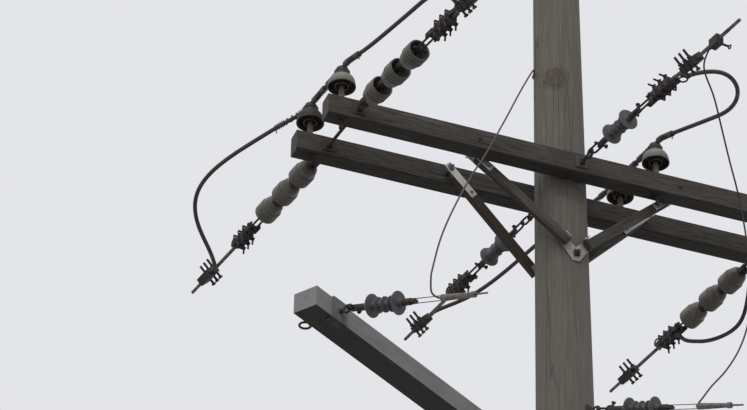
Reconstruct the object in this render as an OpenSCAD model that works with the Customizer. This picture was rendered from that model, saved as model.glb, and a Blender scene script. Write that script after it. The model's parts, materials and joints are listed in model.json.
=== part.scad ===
// Wooden utility pole with double dead-end crossarms and a lower fibreglass dead-end arm.
// The origin is on the ground at the pole's axis. +X runs along the crossarms, -Y is the near side.

/* [Pole] */
// Height of the pole above the ground
pole_h = 11700; // [11300:50:12200]
// Diameter of the pole at the ground
pole_base_d = 398; // [380:1:420]
// Diameter of the pole at its top
pole_top_d = 215; // [205:1:225]

/* [Crossarms] */
// Height of the crossarms' centre line above the ground
arm_z = 10100; // [9800:10:10400]
// Length of each crossarm
arm_len = 2470; // [2400:1:2600]
// Width of a crossarm, from its front face to its back face
arm_w = 83; // [76:1:95]
// Height of a crossarm
arm_h = 108; // [102:1:121]
// Width of the worn edges of the crossarms
arm_chamfer = 5; // [2:0.5:8]
// Distance from the pole's axis to the inner face of each crossarm
arm_gap = 114; // [112:0.5:116]
// Shift of the near crossarm to the right, and of the far one to the left
arm_shift = 20; // [10:1:25]

/* [Crossarm hardware] */
// Diameter of the through bolts
bolt_d = 16; // [14:1:18]
// Distance from the pole's axis to the outer bolts
outer_bolt_x = 1090; // [1060:1:1120]
// Side of the square washers
washer_w = 57; // [50:1:65]
// Thickness of the square washers
washer_t = 5; // [4:0.5:8]
// Distance from the pole's axis to the outer insulator pins
outer_pin_x = 1160; // [1150:1:1180]
// Distance from the pole's axis to the inner insulator pins
inner_pin_x = 400; // [380:1:430]

/* [Braces] */
// Distance from the pole's axis to a brace's upper bolt
brace_x = 500; // [460:1:540]
// Drop from the crossarms' centre line to the braces' lower bolt
brace_drop = 465; // [430:1:500]
// Height of a brace's section
brace_h = 44; // [38:1:50]
// Thickness of a brace's section
brace_t = 30; // [24:1:34]

/* [Insulators] */
// Diameter of the porcelain bells
bell_d = 108; // [100:1:114]
// Distance from one bell's pin to the next
bell_pitch = 160; // [156:1:168]
// Diameter of a pin insulator's skirt
pin_insulator_d = 130; // [120:1:140]
// Height of a pin insulator
pin_insulator_h = 95; // [92:1:105]
// Diameter of the large sheds on a polymer insulator
shed_d = 100; // [92:1:108]
// Diameter of the small sheds on a polymer insulator
small_shed_d = 68; // [60:1:74]
// Length of a polymer insulator from pin to pin
polymer_len = 310; // [300:1:330]

/* [Lines] */
// Turn of the centre phase from square to the crossarms
line_yaw = 8.8; // [6:0.1:11]
// How much more the outer phases turn
line_spread = 0.9; // [0:0.1:1.5]
// Fall of the insulator strings along the main line
line_dip = 1.7; // [0.5:0.1:3]
// Diameter of the line conductors
conductor_d = 16; // [13:1:18]
// Diameter of the jumpers between the near and the far side
jumper_d = 20; // [16:1:22]
// Diameter of the tap jumpers
tap_wire_d = 8; // [6:0.5:10]

/* [Dead-end arm] */
// Height of the dead-end arm's centre line above the ground
de_z = 8670; // [8500:10:8800]
// Length of the dead-end arm
de_len = 3200; // [3050:10:3350]
// Width of the dead-end arm along the pull
de_w = 117; // [110:1:124]
// Height of the dead-end arm
de_h = 92; // [85:1:98]
// Wall of the dead-end arm
de_wall = 6; // [4:0.5:9]
// Turn of the dead-end arm from the crossarms
de_yaw = 32.9; // [25:0.1:40]
// Distance from the arm's end to its outer eye bolts
de_eye_inset = 150; // [130:1:170]
// Fall of the tap's insulators
tap_dip = 15.1; // [10:0.1:20]

/* [Hidden] */
$fn = 32;

wood_grey = "#6b6660";
arm_brown = "#4d4843";
steel_grey = "#8d8b86";
rusty_steel = "#4a3f3b";
porcelain_grey = "#8a8880";
polymer_grey = "#5c6064";
fibreglass_grey = "#9a9c9c";
conductor_grey = "#55504c";
jumper_brown = "#3d3532";

// Clearance between a bolt and its hole, on the diameter
hole_gap = 2;
// How far a piece stays from the face that carries it
seat_gap = 0.3;
SIDES = [-1, 1];
PHASES = [-1, 0, 1];
nut_w = 26;
nut_t = 14;
steel_t = 8;

// Radius of the pole at a height
function pole_r(z) = (pole_base_d + (pole_top_d - pole_base_d) * z / pole_h) / 2;

arm_face = arm_gap + arm_w;
arm_mid = arm_gap + arm_w / 2;
// The through bolts run skew, because the crossarms are shifted
bolt_turn = atan(arm_shift / arm_face);

// The right phase's bolt stands farther out, and its strings hang lower
right_bolt_out = 40;
right_extra_dip = 2.2;
function bolt_x(phase) = phase * outer_bolt_x + (phase > 0 ? right_bolt_out : 0);
function phase_yaw(phase) = line_yaw + (phase == 0 ? 0 : line_spread);
function phase_dip(phase) = line_dip + (phase > 0 ? right_extra_dip : 0);

// Distances along a string from the face of the crossarm: left, centre and right phase
eye_places = [49, 84, 94];
function eye_s(phase) = eye_places[phase + 1];
eye_r = 19.5;
eye_wire = 14;
pin_d = 12;
// A pin bears on the eye's outer side
eye_bearing = eye_r - eye_wire / 2 - pin_d / 2 - 0.5;
function first_pin_s(phase) = eye_s(phase) + eye_bearing;
function bell_end_s(phase) = first_pin_s(phase) + 3 * bell_pitch;
near_polymer_s = 168;
far_polymer_s = 232;
centre_yoke = 95;
clamp_len = 200;
tongue_t = 14;
yoke_rod_d = 10;
yoke_rod_y = 12.5;
lug_y = 22.3;
cross_pin_len = 60;
bell_clamp_s = 640;
near_centre_clamp_s = near_polymer_s + polymer_len + centre_yoke;
far_centre_clamp_s = far_polymer_s + polymer_len + centre_yoke;
function clamp_s(side, phase) =
    phase != 0 ? bell_clamp_s : side < 0 ? near_centre_clamp_s : far_centre_clamp_s;

// Turns about the upright axis, and falls, for vectors
function turned(v, a) = [v[0] * cos(a) - v[1] * sin(a), v[0] * sin(a) + v[1] * cos(a), v[2]];
function dipped(v, a) = [v[0] * cos(a) + v[2] * sin(a), v[1], -v[0] * sin(a) + v[2] * cos(a)];
// The eye's centre: the end of the skew bolt, carried on past the face
function line_start(side, phase) =
    [bolt_x(phase), 0, arm_z]
    + turned([0, side * (arm_face / cos(bolt_turn) + eye_s(phase)), 0], bolt_turn);

// Places a thing on a line that leaves the crossarms: side -1 near and 1 far, phase -1, 0 or 1
module on_line(side, phase) {
    translate(line_start(side, phase))
        rotate([0, 0, side * 90 + phase_yaw(phase)])
            rotate([0, phase_dip(phase), 0]) translate([-eye_s(phase), 0, 0]) children();
}
// The same for a point, where v is [along, across, above]
function line_point(side, phase, v) = line_start(side, phase)
    + turned(dipped(v - [eye_s(phase), 0, 0], phase_dip(phase)), side * 90 + phase_yaw(phase));

// Places a thing on the middle of a crossarm
module on_arm(side) {
    translate([-side * arm_shift, side * arm_mid, arm_z]) children();
}

// Square washer and nut on an axis along +X, seated on the plane x = 0
module washer_and_nut(stick_out) {
    translate([seat_gap, -washer_w / 2, -washer_w / 2]) cube([washer_t, washer_w, washer_w]);
    translate([seat_gap + washer_t, -nut_w / 2, -nut_w / 2]) cube([nut_t, nut_w, nut_w]);
    translate([seat_gap, 0, 0]) rotate([0, 90, 0])
        cylinder(h = washer_t + nut_t + stick_out, d = bolt_d);
}

// A round eye that stands upright, with its centre at x = 0
module upright_eye(r, wire) {
    rotate([90, 0, 0]) rotate_extrude($fn = 48) translate([r, 0]) circle(d = wire);
}

// All through bolts of the crossarms, for their holes
module through_bolt_holes() {
    for (phase = PHASES) translate([bolt_x(phase), 0, arm_z]) rotate([90, 0, bolt_turn])
        cylinder(h = 3 * arm_face, d = bolt_d + hole_gap, center = true);
}

// Pole
brace_bolt_z = arm_z - brace_drop;

module pole() {
    color(wood_grey) difference() {
        cylinder(h = pole_h, d1 = pole_base_d, d2 = pole_top_d, $fn = 64);
        for (side = SIDES)
            translate([-pole_base_d / 2, side > 0 ? arm_gap : -arm_face, arm_z - arm_h / 2])
                cube([pole_base_d, arm_w, arm_h]);
        through_bolt_holes();
        translate([0, 0, brace_bolt_z]) rotate([90, 0, bolt_turn])
            cylinder(h = pole_base_d, d = bolt_d + hole_gap, center = true);
        for (up = SIDES)
            translate([0, 0, de_z + up * bracket_bolt_z]) rotate([90, 0, de_yaw])
                cylinder(h = pole_base_d * 1.2, d = bolt_d + hole_gap, center = true);
    }
}

// Crossarms
pin_shank_d = 16;
pin_places = [-outer_pin_x, inner_pin_x, outer_pin_x];
brace_bolt_d = 12;

module crossarm(side) {
    c = arm_chamfer;
    color(arm_brown) difference() {
        on_arm(side) difference() {
            translate([-arm_len / 2, -arm_w / 2, -arm_h / 2]) rotate([90, 0, 90])
                linear_extrude(arm_len) polygon([
                    [c, 0], [arm_w - c, 0], [arm_w, c], [arm_w, arm_h - c],
                    [arm_w - c, arm_h], [c, arm_h], [0, arm_h - c], [0, c]]);
            for (x = pin_places)
                translate([x, 0, 0]) cylinder(h = 2 * arm_h, d = pin_shank_d + hole_gap, center = true);
            for (x = [-brace_x, brace_x]) translate([x, 0, 0]) rotate([90, 0, 0])
                cylinder(h = 2 * arm_w, d = brace_bolt_d + hole_gap, center = true);
        }
        through_bolt_holes();
    }
}

module centre_through_bolt() {
    color(rusty_steel) through_bolt(0);
}

// A through bolt with a square washer, a nut and an eye at each end
module through_bolt(phase) {
    reach = arm_face / cos(bolt_turn);
    half_eye = eye_r + eye_wire / 2;
    translate([bolt_x(phase), 0, arm_z]) {
        rotate([90, 0, bolt_turn]) cylinder(h = 2 * reach, d = bolt_d, center = true);
        for (side = SIDES) {
            translate([-side * arm_shift, side * arm_face, 0]) rotate([0, 0, side * 90])
                translate([seat_gap, -washer_w / 2, -washer_w / 2]) cube([washer_t, washer_w, washer_w]);
            rotate([0, 0, side * 90 + bolt_turn]) translate([reach, 0, 0]) {
                translate([washer_t - 1, -nut_w / 2, -nut_w / 2]) cube([nut_t, nut_w, nut_w]);
                translate([2, 0, 0]) rotate([0, 90, 0]) cylinder(h = eye_s(phase) - half_eye + 4, d = 20);
                translate([eye_s(phase), 0, 0]) upright_eye(eye_r, eye_wire);
            }
        }
    }
}

// An arming bolt also has a washer and a nut inside each crossarm
module arming_bolt(phase) {
    inner_x = arm_shift * arm_gap / arm_face;
    color(rusty_steel) {
        through_bolt(phase);
        for (side = SIDES)
            translate([bolt_x(phase) - side * inner_x, side * (arm_gap - seat_gap), arm_z])
                rotate([0, 0, -side * 90]) {
                    translate([0, -washer_w / 2, -washer_w / 2]) cube([washer_t, washer_w, washer_w]);
                    translate([washer_t, -nut_w / 2, -nut_w / 2]) cube([nut_t, nut_w, nut_w]);
                }
    }
}

// Insulator pins and pin insulators
pin_rise = 96;
pin_collar_t = 8;
thread_d = 24;
thread_depth = pin_insulator_h - 30;
// The cord lies in the groove across the head
groove_z = pin_insulator_h - 1;
head_z = arm_h / 2 + pin_rise + groove_z;

module insulator_pin() {
    below = 46;
    top = arm_h / 2 + seat_gap;
    translate([0, 0, -arm_h / 2 - below]) cylinder(h = arm_h + below + 2, d = pin_shank_d);
    translate([-washer_w / 2, -washer_w / 2, -arm_h / 2 - seat_gap - washer_t])
        cube([washer_w, washer_w, washer_t]);
    translate([-nut_w / 2, -nut_w / 2, -arm_h / 2 - seat_gap - washer_t - nut_t])
        cube([nut_w, nut_w, nut_t]);
    translate([0, 0, top]) cylinder(h = pin_collar_t, d = 44);
    translate([0, 0, top + pin_collar_t]) cylinder(h = pin_rise - pin_collar_t, d1 = 30, d2 = thread_d);
    translate([0, 0, top + pin_rise - 1]) cylinder(h = thread_depth, d = thread_d);
}

module insulator_pins() {
    color(rusty_steel) for (side = SIDES) for (x = pin_places)
        on_arm(side) translate([x, 0, 0]) insulator_pin();
}

module pin_insulator() {
    r = pin_insulator_d / 2;
    h = pin_insulator_h;
    groove_turn = atan(arm_shift / arm_mid);
    difference() {
        rotate_extrude($fn = 64) difference() {
            polygon([
                [0, h], [20, h], [27, h - 6], [27, h - 12], [21, h - 16], [21, h - 23],
                [29, h - 29], [40, h - 33], [52, h - 42], [r - 5, h - 56], [r, h - 74], [r, 6],
                [r - 2, 0], [r - 7, 0], [r - 9, 6], [r - 14, 28], [37, 36], [34, 33],
                [33, 8], [31, 5], [27, 5], [25, 8], [24, 42], [0, 42]]);
            square([thread_d / 2 + seat_gap, thread_depth + 1]);
        }
        translate([0, 0, groove_z]) rotate([90, 0, groove_turn])
            cylinder(h = 80, d = jumper_d + 2 * seat_gap, center = true);
    }
}

module pin_insulators() {
    color(porcelain_grey) for (side = SIDES) for (x = pin_places)
        on_arm(side) translate([x, 0, arm_h / 2 + pin_rise]) pin_insulator();
}

// Braces run from the crossarm's inner face down to the pole
plate_t = 6;
brace_end_x = 22;
// The brace leans outwards, so its ends are set off to clear the crossarm and the plate
brace_top_clear = 18.5;
brace_low_clear = 18;
brace_low_rise = 18;
vee_shift = arm_shift * pole_r(brace_bolt_z) / arm_face;
function brace_top(side, hand) =
    [hand * brace_x - side * arm_shift, side * (arm_gap - brace_t / 2 - brace_top_clear), arm_z];
function brace_low(side, hand) = [hand * brace_end_x - side * vee_shift,
    side * (pole_r(brace_bolt_z) + brace_t / 2 + brace_low_clear), brace_bolt_z + brace_low_rise];
brace_start = 40;
brace_stop = 35;
sleeve_start = 46;
sleeve_len = 120;
sleeve_t = 4;

// Turns +X along the way from one point to another
module along(a, b) {
    d = b - a;
    translate(a) rotate([0, -atan2(d[2], norm([d[0], d[1]])), atan2(d[1], d[0])]) children();
}

module brace(side, hand) {
    a = brace_top(side, hand);
    b = brace_low(side, hand);
    color(arm_brown) along(a, b)
        translate([brace_start, -brace_t / 2, -brace_h / 2])
            cube([norm(b - a) - brace_start - brace_stop, brace_t, brace_h]);
}

// A flat strap on the crossarm, joined to a sleeve over the end of the brace
module brace_strap(side, hand) {
    a = brace_top(side, hand);
    b = brace_low(side, hand);
    fall = atan2(a[2] - b[2], abs(b[0] - a[0]));
    outer_y = side * (arm_gap - seat_gap - sleeve_t / 2);
    difference() {
        translate([a[0], outer_y, a[2]]) rotate([0, hand > 0 ? 180 - fall : fall, 0])
            translate([-24, -sleeve_t / 2, -18]) cube([brace_start + 64, sleeve_t, 36]);
        translate([a[0], 0, a[2]]) rotate([90, 0, 0])
            cylinder(h = 3 * arm_gap, d = brace_bolt_d + hole_gap, center = true);
    }
    along(a, b) difference() {
        translate([sleeve_start, -brace_t / 2 - sleeve_t - seat_gap, -brace_h / 2 - sleeve_t])
            cube([sleeve_len, brace_t + 2 * sleeve_t + 2 * seat_gap, brace_h + 2 * sleeve_t]);
        translate([brace_start - 10, -brace_t / 2 - seat_gap, -brace_h / 2 - seat_gap])
            cube([sleeve_len + 40, brace_t + 2 * seat_gap, brace_h + 2 * seat_gap]);
    }
}

module brace_straps() {
    color(steel_grey) for (side = SIDES) for (hand = SIDES) brace_strap(side, hand);
}

// A V of plate on the pole, with a lip along the upper edge of each brace
module vee_plate(side) {
    r = pole_r(brace_bolt_z - 50);
    translate([-side * vee_shift, side * (r + plate_t / 2 + seat_gap), brace_bolt_z]) difference() {
        union() {
            rotate([90, 0, 0]) linear_extrude(plate_t, center = true) polygon([
                [-85, 63], [-59, 91], [-34, 68], [0, 34], [34, 68], [59, 91], [85, 63], [16, -38], [-16, -38]]);
            for (hand = SIDES) translate([hand * 45, side * 14, 82]) rotate([0, hand * 46, 0])
                cube([plate_t, 34, 34], center = true);
        }
        rotate([90, 0, bolt_turn]) cylinder(h = 80, d = bolt_d + hole_gap, center = true);
    }
}

module vee_plates() {
    color(steel_grey) for (side = SIDES) vee_plate(side);
}

// Round-headed bolts through the straps, and the bolt through both plates and the pole
module brace_bolts() {
    inner = arm_gap - 2 * seat_gap - sleeve_t;
    plate_face = pole_r(brace_bolt_z - 50) + plate_t + 2 * seat_gap;
    color(rusty_steel) {
        for (side = SIDES) for (hand = SIDES)
            translate([hand * brace_x - side * arm_shift, 0, arm_z]) rotate([0, 0, side * 90]) {
                translate([inner - 16, 0, 0]) rotate([0, 90, 0])
                    cylinder(h = arm_w + 30, d = brace_bolt_d);
                translate([inner - 9, -10, -10]) cube([9, 20, 20]);
                translate([arm_face + seat_gap, 0, 0]) rotate([0, 90, 0]) cylinder(h = 6, d1 = 28, d2 = 18);
            }
        translate([0, 0, brace_bolt_z]) rotate([0, 0, bolt_turn]) {
            rotate([90, 0, 0]) cylinder(h = 2 * plate_face + 60, d = bolt_d, center = true);
            for (side = SIDES) rotate([0, 0, side * 90]) translate([plate_face + 3, -nut_w / 2, -nut_w / 2])
                cube([nut_t, nut_w, nut_w]);
        }
    }
}

// One porcelain bell on its axis +X, with x = 0 at its clevis pin: a smooth dome, then fine ribs
stem_d = 17;
rib_first = 90;
rib_pitch = 12;
rib_depth = 3;
module bell() {
    r = bell_d / 2;
    bore = stem_d / 2 + seat_gap;
    ribs = [for (k = [0:4]) let (x = rib_first + k * rib_pitch)
        each [[r - rib_depth, x], [r, x + 3], [r, x + 7], [r - rib_depth, x + 10]]];
    rotate([0, 90, 0]) rotate_extrude($fn = 48) polygon(concat(
        [[0, 34], [25, 34], [32, 38], [39, 46], [44, 56], [47, 66], [r - 5, 76], [r - 3, 86]],
        ribs,
        [[r - 1, 151], [r - 3, 155], [r - 8, 154], [r - 11, 130], [r - 16, 104], [30, 90],
        [22, 84], [bore, 84], [bore, 60], [0, 60]]));
}

module bells(side, hand) {
    color(porcelain_grey) on_line(side, hand) for (k = [0:2])
        translate([first_pin_s(hand) + k * bell_pitch, 0, 0]) bell();
}

// A tongue with a pin hole at x = 0 and its body towards -X
module tongue(back, hole_d) {
    difference() {
        translate([-back, -tongue_t / 2, -13]) cube([back + 13, tongue_t, 26]);
        rotate([90, 0, 0]) cylinder(h = 2 * tongue_t, d = hole_d, center = true);
    }
}

module cross_pin() {
    rotate([90, 0, 0]) cylinder(h = cross_pin_len, d = pin_d, center = true);
    translate([0, cross_pin_len / 2, 0]) rotate([-90, 0, 0]) cylinder(h = 6, d = 20);
}

// Forked cap above a bell, and the stem and tongue below it
module bell_cap_and_stem() {
    difference() {
        translate([-13, -20, -13]) cube([40, 40, 26]);
        translate([-20, -8.5, -20]) cube([43, 17, 40]);
    }
    rotate([0, 90, 0]) translate([0, 0, 25]) cylinder(h = 9 - seat_gap, d1 = 40, d2 = 48);
    rotate([90, 0, 0]) cylinder(h = 48, d = pin_d, center = true);
    rotate([0, 90, 0]) translate([0, 0, 60 + seat_gap]) cylinder(h = bell_pitch - 73, d = stem_d);
    translate([bell_pitch, 0, 0]) tongue(16, pin_d + 1);
}

// Two rods between cross pins
module yoke(n) {
    for (s = SIDES) translate([-7, s * yoke_rod_y, 0]) rotate([0, 90, 0])
        cylinder(h = n + 14, d = yoke_rod_d);
    cross_pin();
    translate([n, 0, 0]) cross_pin();
}

module bell_string_fittings(side, hand) {
    color(rusty_steel) on_line(side, hand) {
        for (k = [0:2]) translate([first_pin_s(hand) + k * bell_pitch, 0, 0]) bell_cap_and_stem();
        translate([bell_end_s(hand), 0, 0]) yoke(bell_clamp_s - bell_end_s(hand));
    }
}

// Polymer insulator from pin to pin, with two large sheds and three small ones between them
shed_first = 90;
shed_pitch = 135 / 4;
core_r = 16;
core_start = 60;
core_len = 195;
ferrule_d = 30;

module polymer_insulator() {
    rotate([0, 90, 0]) rotate_extrude($fn = 48) union() {
        translate([0, core_start]) square([core_r, core_len]);
        for (k = [0:4]) {
            r = (k == 0 || k == 4 ? shed_d : small_shed_d) / 2;
            translate([0, shed_first + k * shed_pitch]) polygon([
                [0, -11], [core_r, -11], [core_r + 5, -6], [r - 3, 2], [r, 4], [r, 6], [r - 2, 8],
                [core_r + 3, 8], [core_r, 10], [0, 10]]);
        }
    }
}

// Metal ends of a polymer insulator: a tongue on each, the one at the line end turned
module polymer_ends(line_roll) {
    rotate([0, 0, 180]) tongue(28, pin_d + 1);
    rotate([0, 90, 0]) translate([0, 0, 20]) cylinder(h = core_start - 20 - seat_gap, d = ferrule_d);
    line_end = core_start + core_len + seat_gap;
    rotate([0, 90, 0]) translate([0, 0, line_end])
        cylinder(h = polymer_len - line_end - 14, d = ferrule_d);
    translate([polymer_len, 0, 0]) rotate([line_roll, 0, 0]) tongue(24, pin_d + 1);
}

module centre_insulator(side) {
    s0 = side < 0 ? near_polymer_s : far_polymer_s;
    color(polymer_grey) on_line(side, 0) translate([s0, 0, 0]) polymer_insulator();
}

// A bow of rod in the XY plane: its apex on x = 0, with legs that run to x = n
module bow(n, r, wire) {
    translate([r, 0, 0]) rotate([0, 0, 90]) rotate_extrude(angle = 180, $fn = 48)
        translate([r, 0]) circle(d = wire);
    for (s = SIDES) translate([r, s * r, 0]) rotate([0, 90, 0])
        cylinder(h = n - r, d = wire, $fn = 48);
}

// A chain link in the XY plane, with its first apex on x = 0
module chain_link(n, r, wire) {
    bow(n / 2, r, wire);
    translate([n, 0, 0]) rotate([0, 0, 180]) bow(n / 2, r, wire);
}

link_wire = 10;
link_len = 68;
bow_r = 17;
// Where the first link's apex bears in the eye
bearing_gap = 0.5;
link_start = eye_s(0) + eye_r - eye_wire / 2 - link_wire / 2 - bearing_gap;
// A bow in the far end of a link starts this much short of the link's apex
next_bow = link_wire + bearing_gap;

module centre_string_fittings(side) {
    s0 = side < 0 ? near_polymer_s : far_polymer_s;
    // The far string has a chain link more
    bow_start = side < 0 ? link_start : link_start + link_len - next_bow;
    color(rusty_steel) on_line(side, 0) {
        if (side > 0) translate([link_start, 0, 0]) chain_link(link_len, 14, link_wire);
        rotate([side > 0 ? 90 : 0, 0, 0]) {
            translate([bow_start, 0, 0]) bow(s0 - bow_start + 6, bow_r, link_wire);
            translate([s0, 0, 0]) cross_pin();
            translate([s0, 0, 0]) rotate([0, 0, 180]) tongue(28, pin_d + 1);
        }
        translate([s0, 0, 0]) polymer_ends(clamp_roll(side, 0));
        translate([s0 + polymer_len, 0, 0]) rotate([clamp_roll(side, 0), 0, 0]) yoke(centre_yoke);
    }
}

// Strain clamp, with x = 0 at its clevis pin and the conductor along its axis
wrap_d = conductor_d + 2;
ring_z = -38;
keeper_x = 55;
module strain_clamp_body() {
    difference() {
        union() {
            rotate([90, 0, 0]) linear_extrude(36, center = true) polygon([
                [20, -14], [60, -30], [150, -30], [clamp_len, -18], [clamp_len, 0], [20, 0]]);
            translate([keeper_x, -22, 0]) cube([110, 44, 18]);
            translate([18, -lug_y - 4, -14]) cube([20, 2 * lug_y + 8, 26]);
            for (s = SIDES) translate([-14, s * lug_y - 4, -14]) cube([40, 8, 26]);
        }
        translate([16, 0, 0]) rotate([0, 90, 0]) cylinder(h = clamp_len, d = wrap_d + 2 * seat_gap);
        rotate([90, 0, 0]) cylinder(h = 80, d = pin_d + 1, center = true);
    }
    // Pulling eye
    translate([clamp_len + 8, 0, ring_z]) upright_eye(19, 8);
    translate([clamp_len - 30, -6, ring_z + 2]) cube([22, 12, 24]);
}

u_bolt_d = 9;
u_bolt_y = 27;
u_bolt_low = -35.5;
module clamp_u_bolts() {
    for (x = [66, 110, 154]) translate([x, 0, 0]) {
        for (s = SIDES) translate([0, s * u_bolt_y, u_bolt_low]) {
            cylinder(h = 88, d = u_bolt_d);
            translate([0, 0, 54]) cylinder(h = 8, d = 18, $fn = 6);
        }
        translate([0, 0, u_bolt_low]) rotate([90, 0, 0])
            cylinder(h = 2 * u_bolt_y, d = u_bolt_d, center = true);
        translate([-11, -u_bolt_y - 7, 18 + seat_gap]) difference() {
            cube([22, 2 * u_bolt_y + 14, 5]);
            translate([11, 7, 0]) cylinder(h = 20, d = u_bolt_d - 1, center = true);
        }
    }
}

// The clamps hang with their nuts down, but the near centre one lies on its side
function clamp_roll(side, phase) = side < 0 && phase == 0 ? 90 : 180;

module strain_clamps() {
    color(rusty_steel) for (side = SIDES) for (phase = PHASES) on_line(side, phase)
        translate([clamp_s(side, phase), 0, 0]) rotate([clamp_roll(side, phase), 0, 0])
            strain_clamp_body();
}

module clamp_bolts() {
    color(steel_grey) for (side = SIDES) for (phase = PHASES) on_line(side, phase)
        translate([clamp_s(side, phase), 0, 0]) rotate([clamp_roll(side, phase), 0, 0])
            clamp_u_bolts();
}

// Conductor ends: wrapped where they are clamped, bare past the last fitting
stub_end_s = 1270;
bare_len = 80;
module conductor_ends() {
    color(conductor_grey) for (side = SIDES) for (phase = PHASES) on_line(side, phase) {
        start = clamp_s(side, phase) + 40;
        translate([start, 0, 0]) rotate([0, 90, 0]) cylinder(h = stub_end_s - bare_len - start, d = wrap_d);
        translate([stub_end_s - bare_len - 1, 0, 0]) rotate([0, 90, 0])
            cylinder(h = bare_len + 1, d = conductor_d);
    }
}

// Connectors that join a jumper to its conductor
connector_len = 100;
cord_off = 20;
function connector_roll(side) = -side * 45;
// The far centre jumper comes to its connector from the other side
function cord_hand(side, phase) = side > 0 && phase == 0 ? -1 : 1;
function connector_s(side, phase) =
    side > 0 ? (phase == 0 ? 1110 : 1100) : (phase == 0 ? 897 : 935);

module connector() {
    half = connector_len / 2;
    difference() {
        translate([-half, -16, -20]) cube([connector_len, 52, 40]);
        rotate([0, 90, 0]) cylinder(h = 2 * connector_len, d = wrap_d + 2 * seat_gap, center = true);
        translate([0, cord_off, 0]) rotate([0, 90, 0])
            cylinder(h = 2 * connector_len, d = jumper_d + 2 * seat_gap, center = true);
    }
    for (x = [-34, 0, 34]) translate([x, -23, 0]) {
        translate([-14, -9, -16]) cube([28, 18, 32]);
        translate([0, 0, 10]) cylinder(h = 56, d = 12);
        translate([0, 0, 19]) cylinder(h = 10, d = 22, $fn = 6);
        translate([0, 0, -38]) cylinder(h = 30, d = 12);
        translate([0, 0, -48]) cylinder(h = 10, d = 22, $fn = 6);
    }
}

module connectors() {
    color(rusty_steel) for (side = SIDES) for (phase = PHASES) on_line(side, phase)
        translate([connector_s(side, phase), 0, 0]) rotate([connector_roll(side), 0, 0])
            scale([1, cord_hand(side, phase), 1]) connector();
}

// Small clamps that carry the tap jumpers on the near conductors
tap_clamp_s = 1090;
tap_cord_off = -18;
module tap_clamps() {
    color(rusty_steel) for (phase = [0, 1]) on_line(-1, phase) translate([tap_clamp_s, 0, 0]) {
        difference() {
            translate([-30, -18, -27]) cube([60, 36, 44]);
            rotate([0, 90, 0]) cylinder(h = 80, d = wrap_d + 2 * seat_gap, center = true);
            translate([0, 0, tap_cord_off]) rotate([0, 90, 0])
                cylinder(h = 80, d = tap_wire_d + 2 * seat_gap, center = true);
        }
        translate([0, 18, -4]) rotate([-90, 0, 0]) cylinder(h = 12, d = 22, $fn = 6);
        translate([0, 30, -4]) rotate([-90, 0, 0]) cylinder(h = 34, d = 11);
        translate([0, 72, -4]) upright_eye(9, 6);
    }
}

// A smooth curve through points: Catmull-Rom
function spot(p, i) = p[max(0, min(len(p) - 1, i))];
function curve_at(p, i, t) =
    let (a = spot(p, i - 1), b = spot(p, i), c = spot(p, i + 1), d = spot(p, i + 2))
    0.5 * (2 * b + (c - a) * t + (2 * a - 5 * b + 4 * c - d) * t * t
        + (3 * b - a - 3 * c + d) * t * t * t);
function curve(p, per) = [
    for (i = [0:len(p) - 2]) for (k = [0:per - 1]) curve_at(p, i, k / per), p[len(p) - 1]];
function unit(v) = v / norm(v);
function tangent(p, i) = unit(spot(p, i + 1) - spot(p, i - 1));
// Each ring's side vector is the one before it, turned square to the new tangent
function side_vectors(p, i = 0, u = [0, 0, 1]) =
    i >= len(p) ? [] :
    let (t = tangent(p, i), w = unit(u - (u * t) * t))
    concat([w], side_vectors(p, i + 1, w));

module cord(route, d, per, sides) {
    p = curve(route, per);
    u = side_vectors(p);
    rings = len(p);
    points = [for (i = [0:rings - 1]) let (t = tangent(p, i), v = cross(t, u[i]))
        for (k = [0:sides - 1]) p[i] + d / 2 * (cos(360 * k / sides) * u[i]
            + sin(360 * k / sides) * v)];
    skin = [for (i = [0:rings - 2]) for (k = [0:sides - 1])
        let (m = (k + 1) % sides) [i * sides + k, (i + 1) * sides + k, (i + 1) * sides + m, i * sides + m]];
    start = [[for (k = [0:sides - 1]) k]];
    end = [[for (k = [0:sides - 1]) rings * sides - 1 - k]];
    polyhedron(points, concat(start, end, skin));
}

// Hand-chosen points are measured from the middle between the crossarms
function from_arms(points) = [for (p = points) p + [0, 0, arm_z]];
// A point in the connector's groove for the cord
function in_connector(side, phase, s, off) = line_point(side, phase, [s,
    off * cos(connector_roll(side)), off * sin(connector_roll(side))]);
// The cord runs straight through the connector, from past it to short of it, and then leaves the line
function joined(side, phase) = let (
    s = connector_s(side, phase),
    off = cord_off * cord_hand(side, phase),
    short = side < 0 && phase != 0) [
    in_connector(side, phase, s + connector_len / 2 + 10, off),
    in_connector(side, phase, s, off),
    in_connector(side, phase, s - connector_len / 2 - 1, off),
    in_connector(side, phase, s - connector_len / 2 - 10, 1.1 * off),
    in_connector(side, phase, s - connector_len / 2 - (short ? 34 : 50), (short ? 2 : 1.25) * off)];
// The cord lies level across a pin insulator's head, in its groove
groove_dir = turned([0, 1, 0], atan(arm_shift / arm_mid));
function over_pin(side, x) = let (c = [x - side * arm_shift, side * arm_mid, arm_z + head_z])
    [for (d = [-56:28:56]) c + d * groove_dir];
function reversed(p) = [for (i = [len(p) - 1:-1:0]) p[i]];
// The far right jumper comes straight out of the strain clamp, under its keeper
from_strain_clamp = [for (v = [[30, 0, -23.5], [keeper_x - 3, 0, -23.5]])
    line_point(1, 1, v + [clamp_s(1, 1), 0, 0])];

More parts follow.
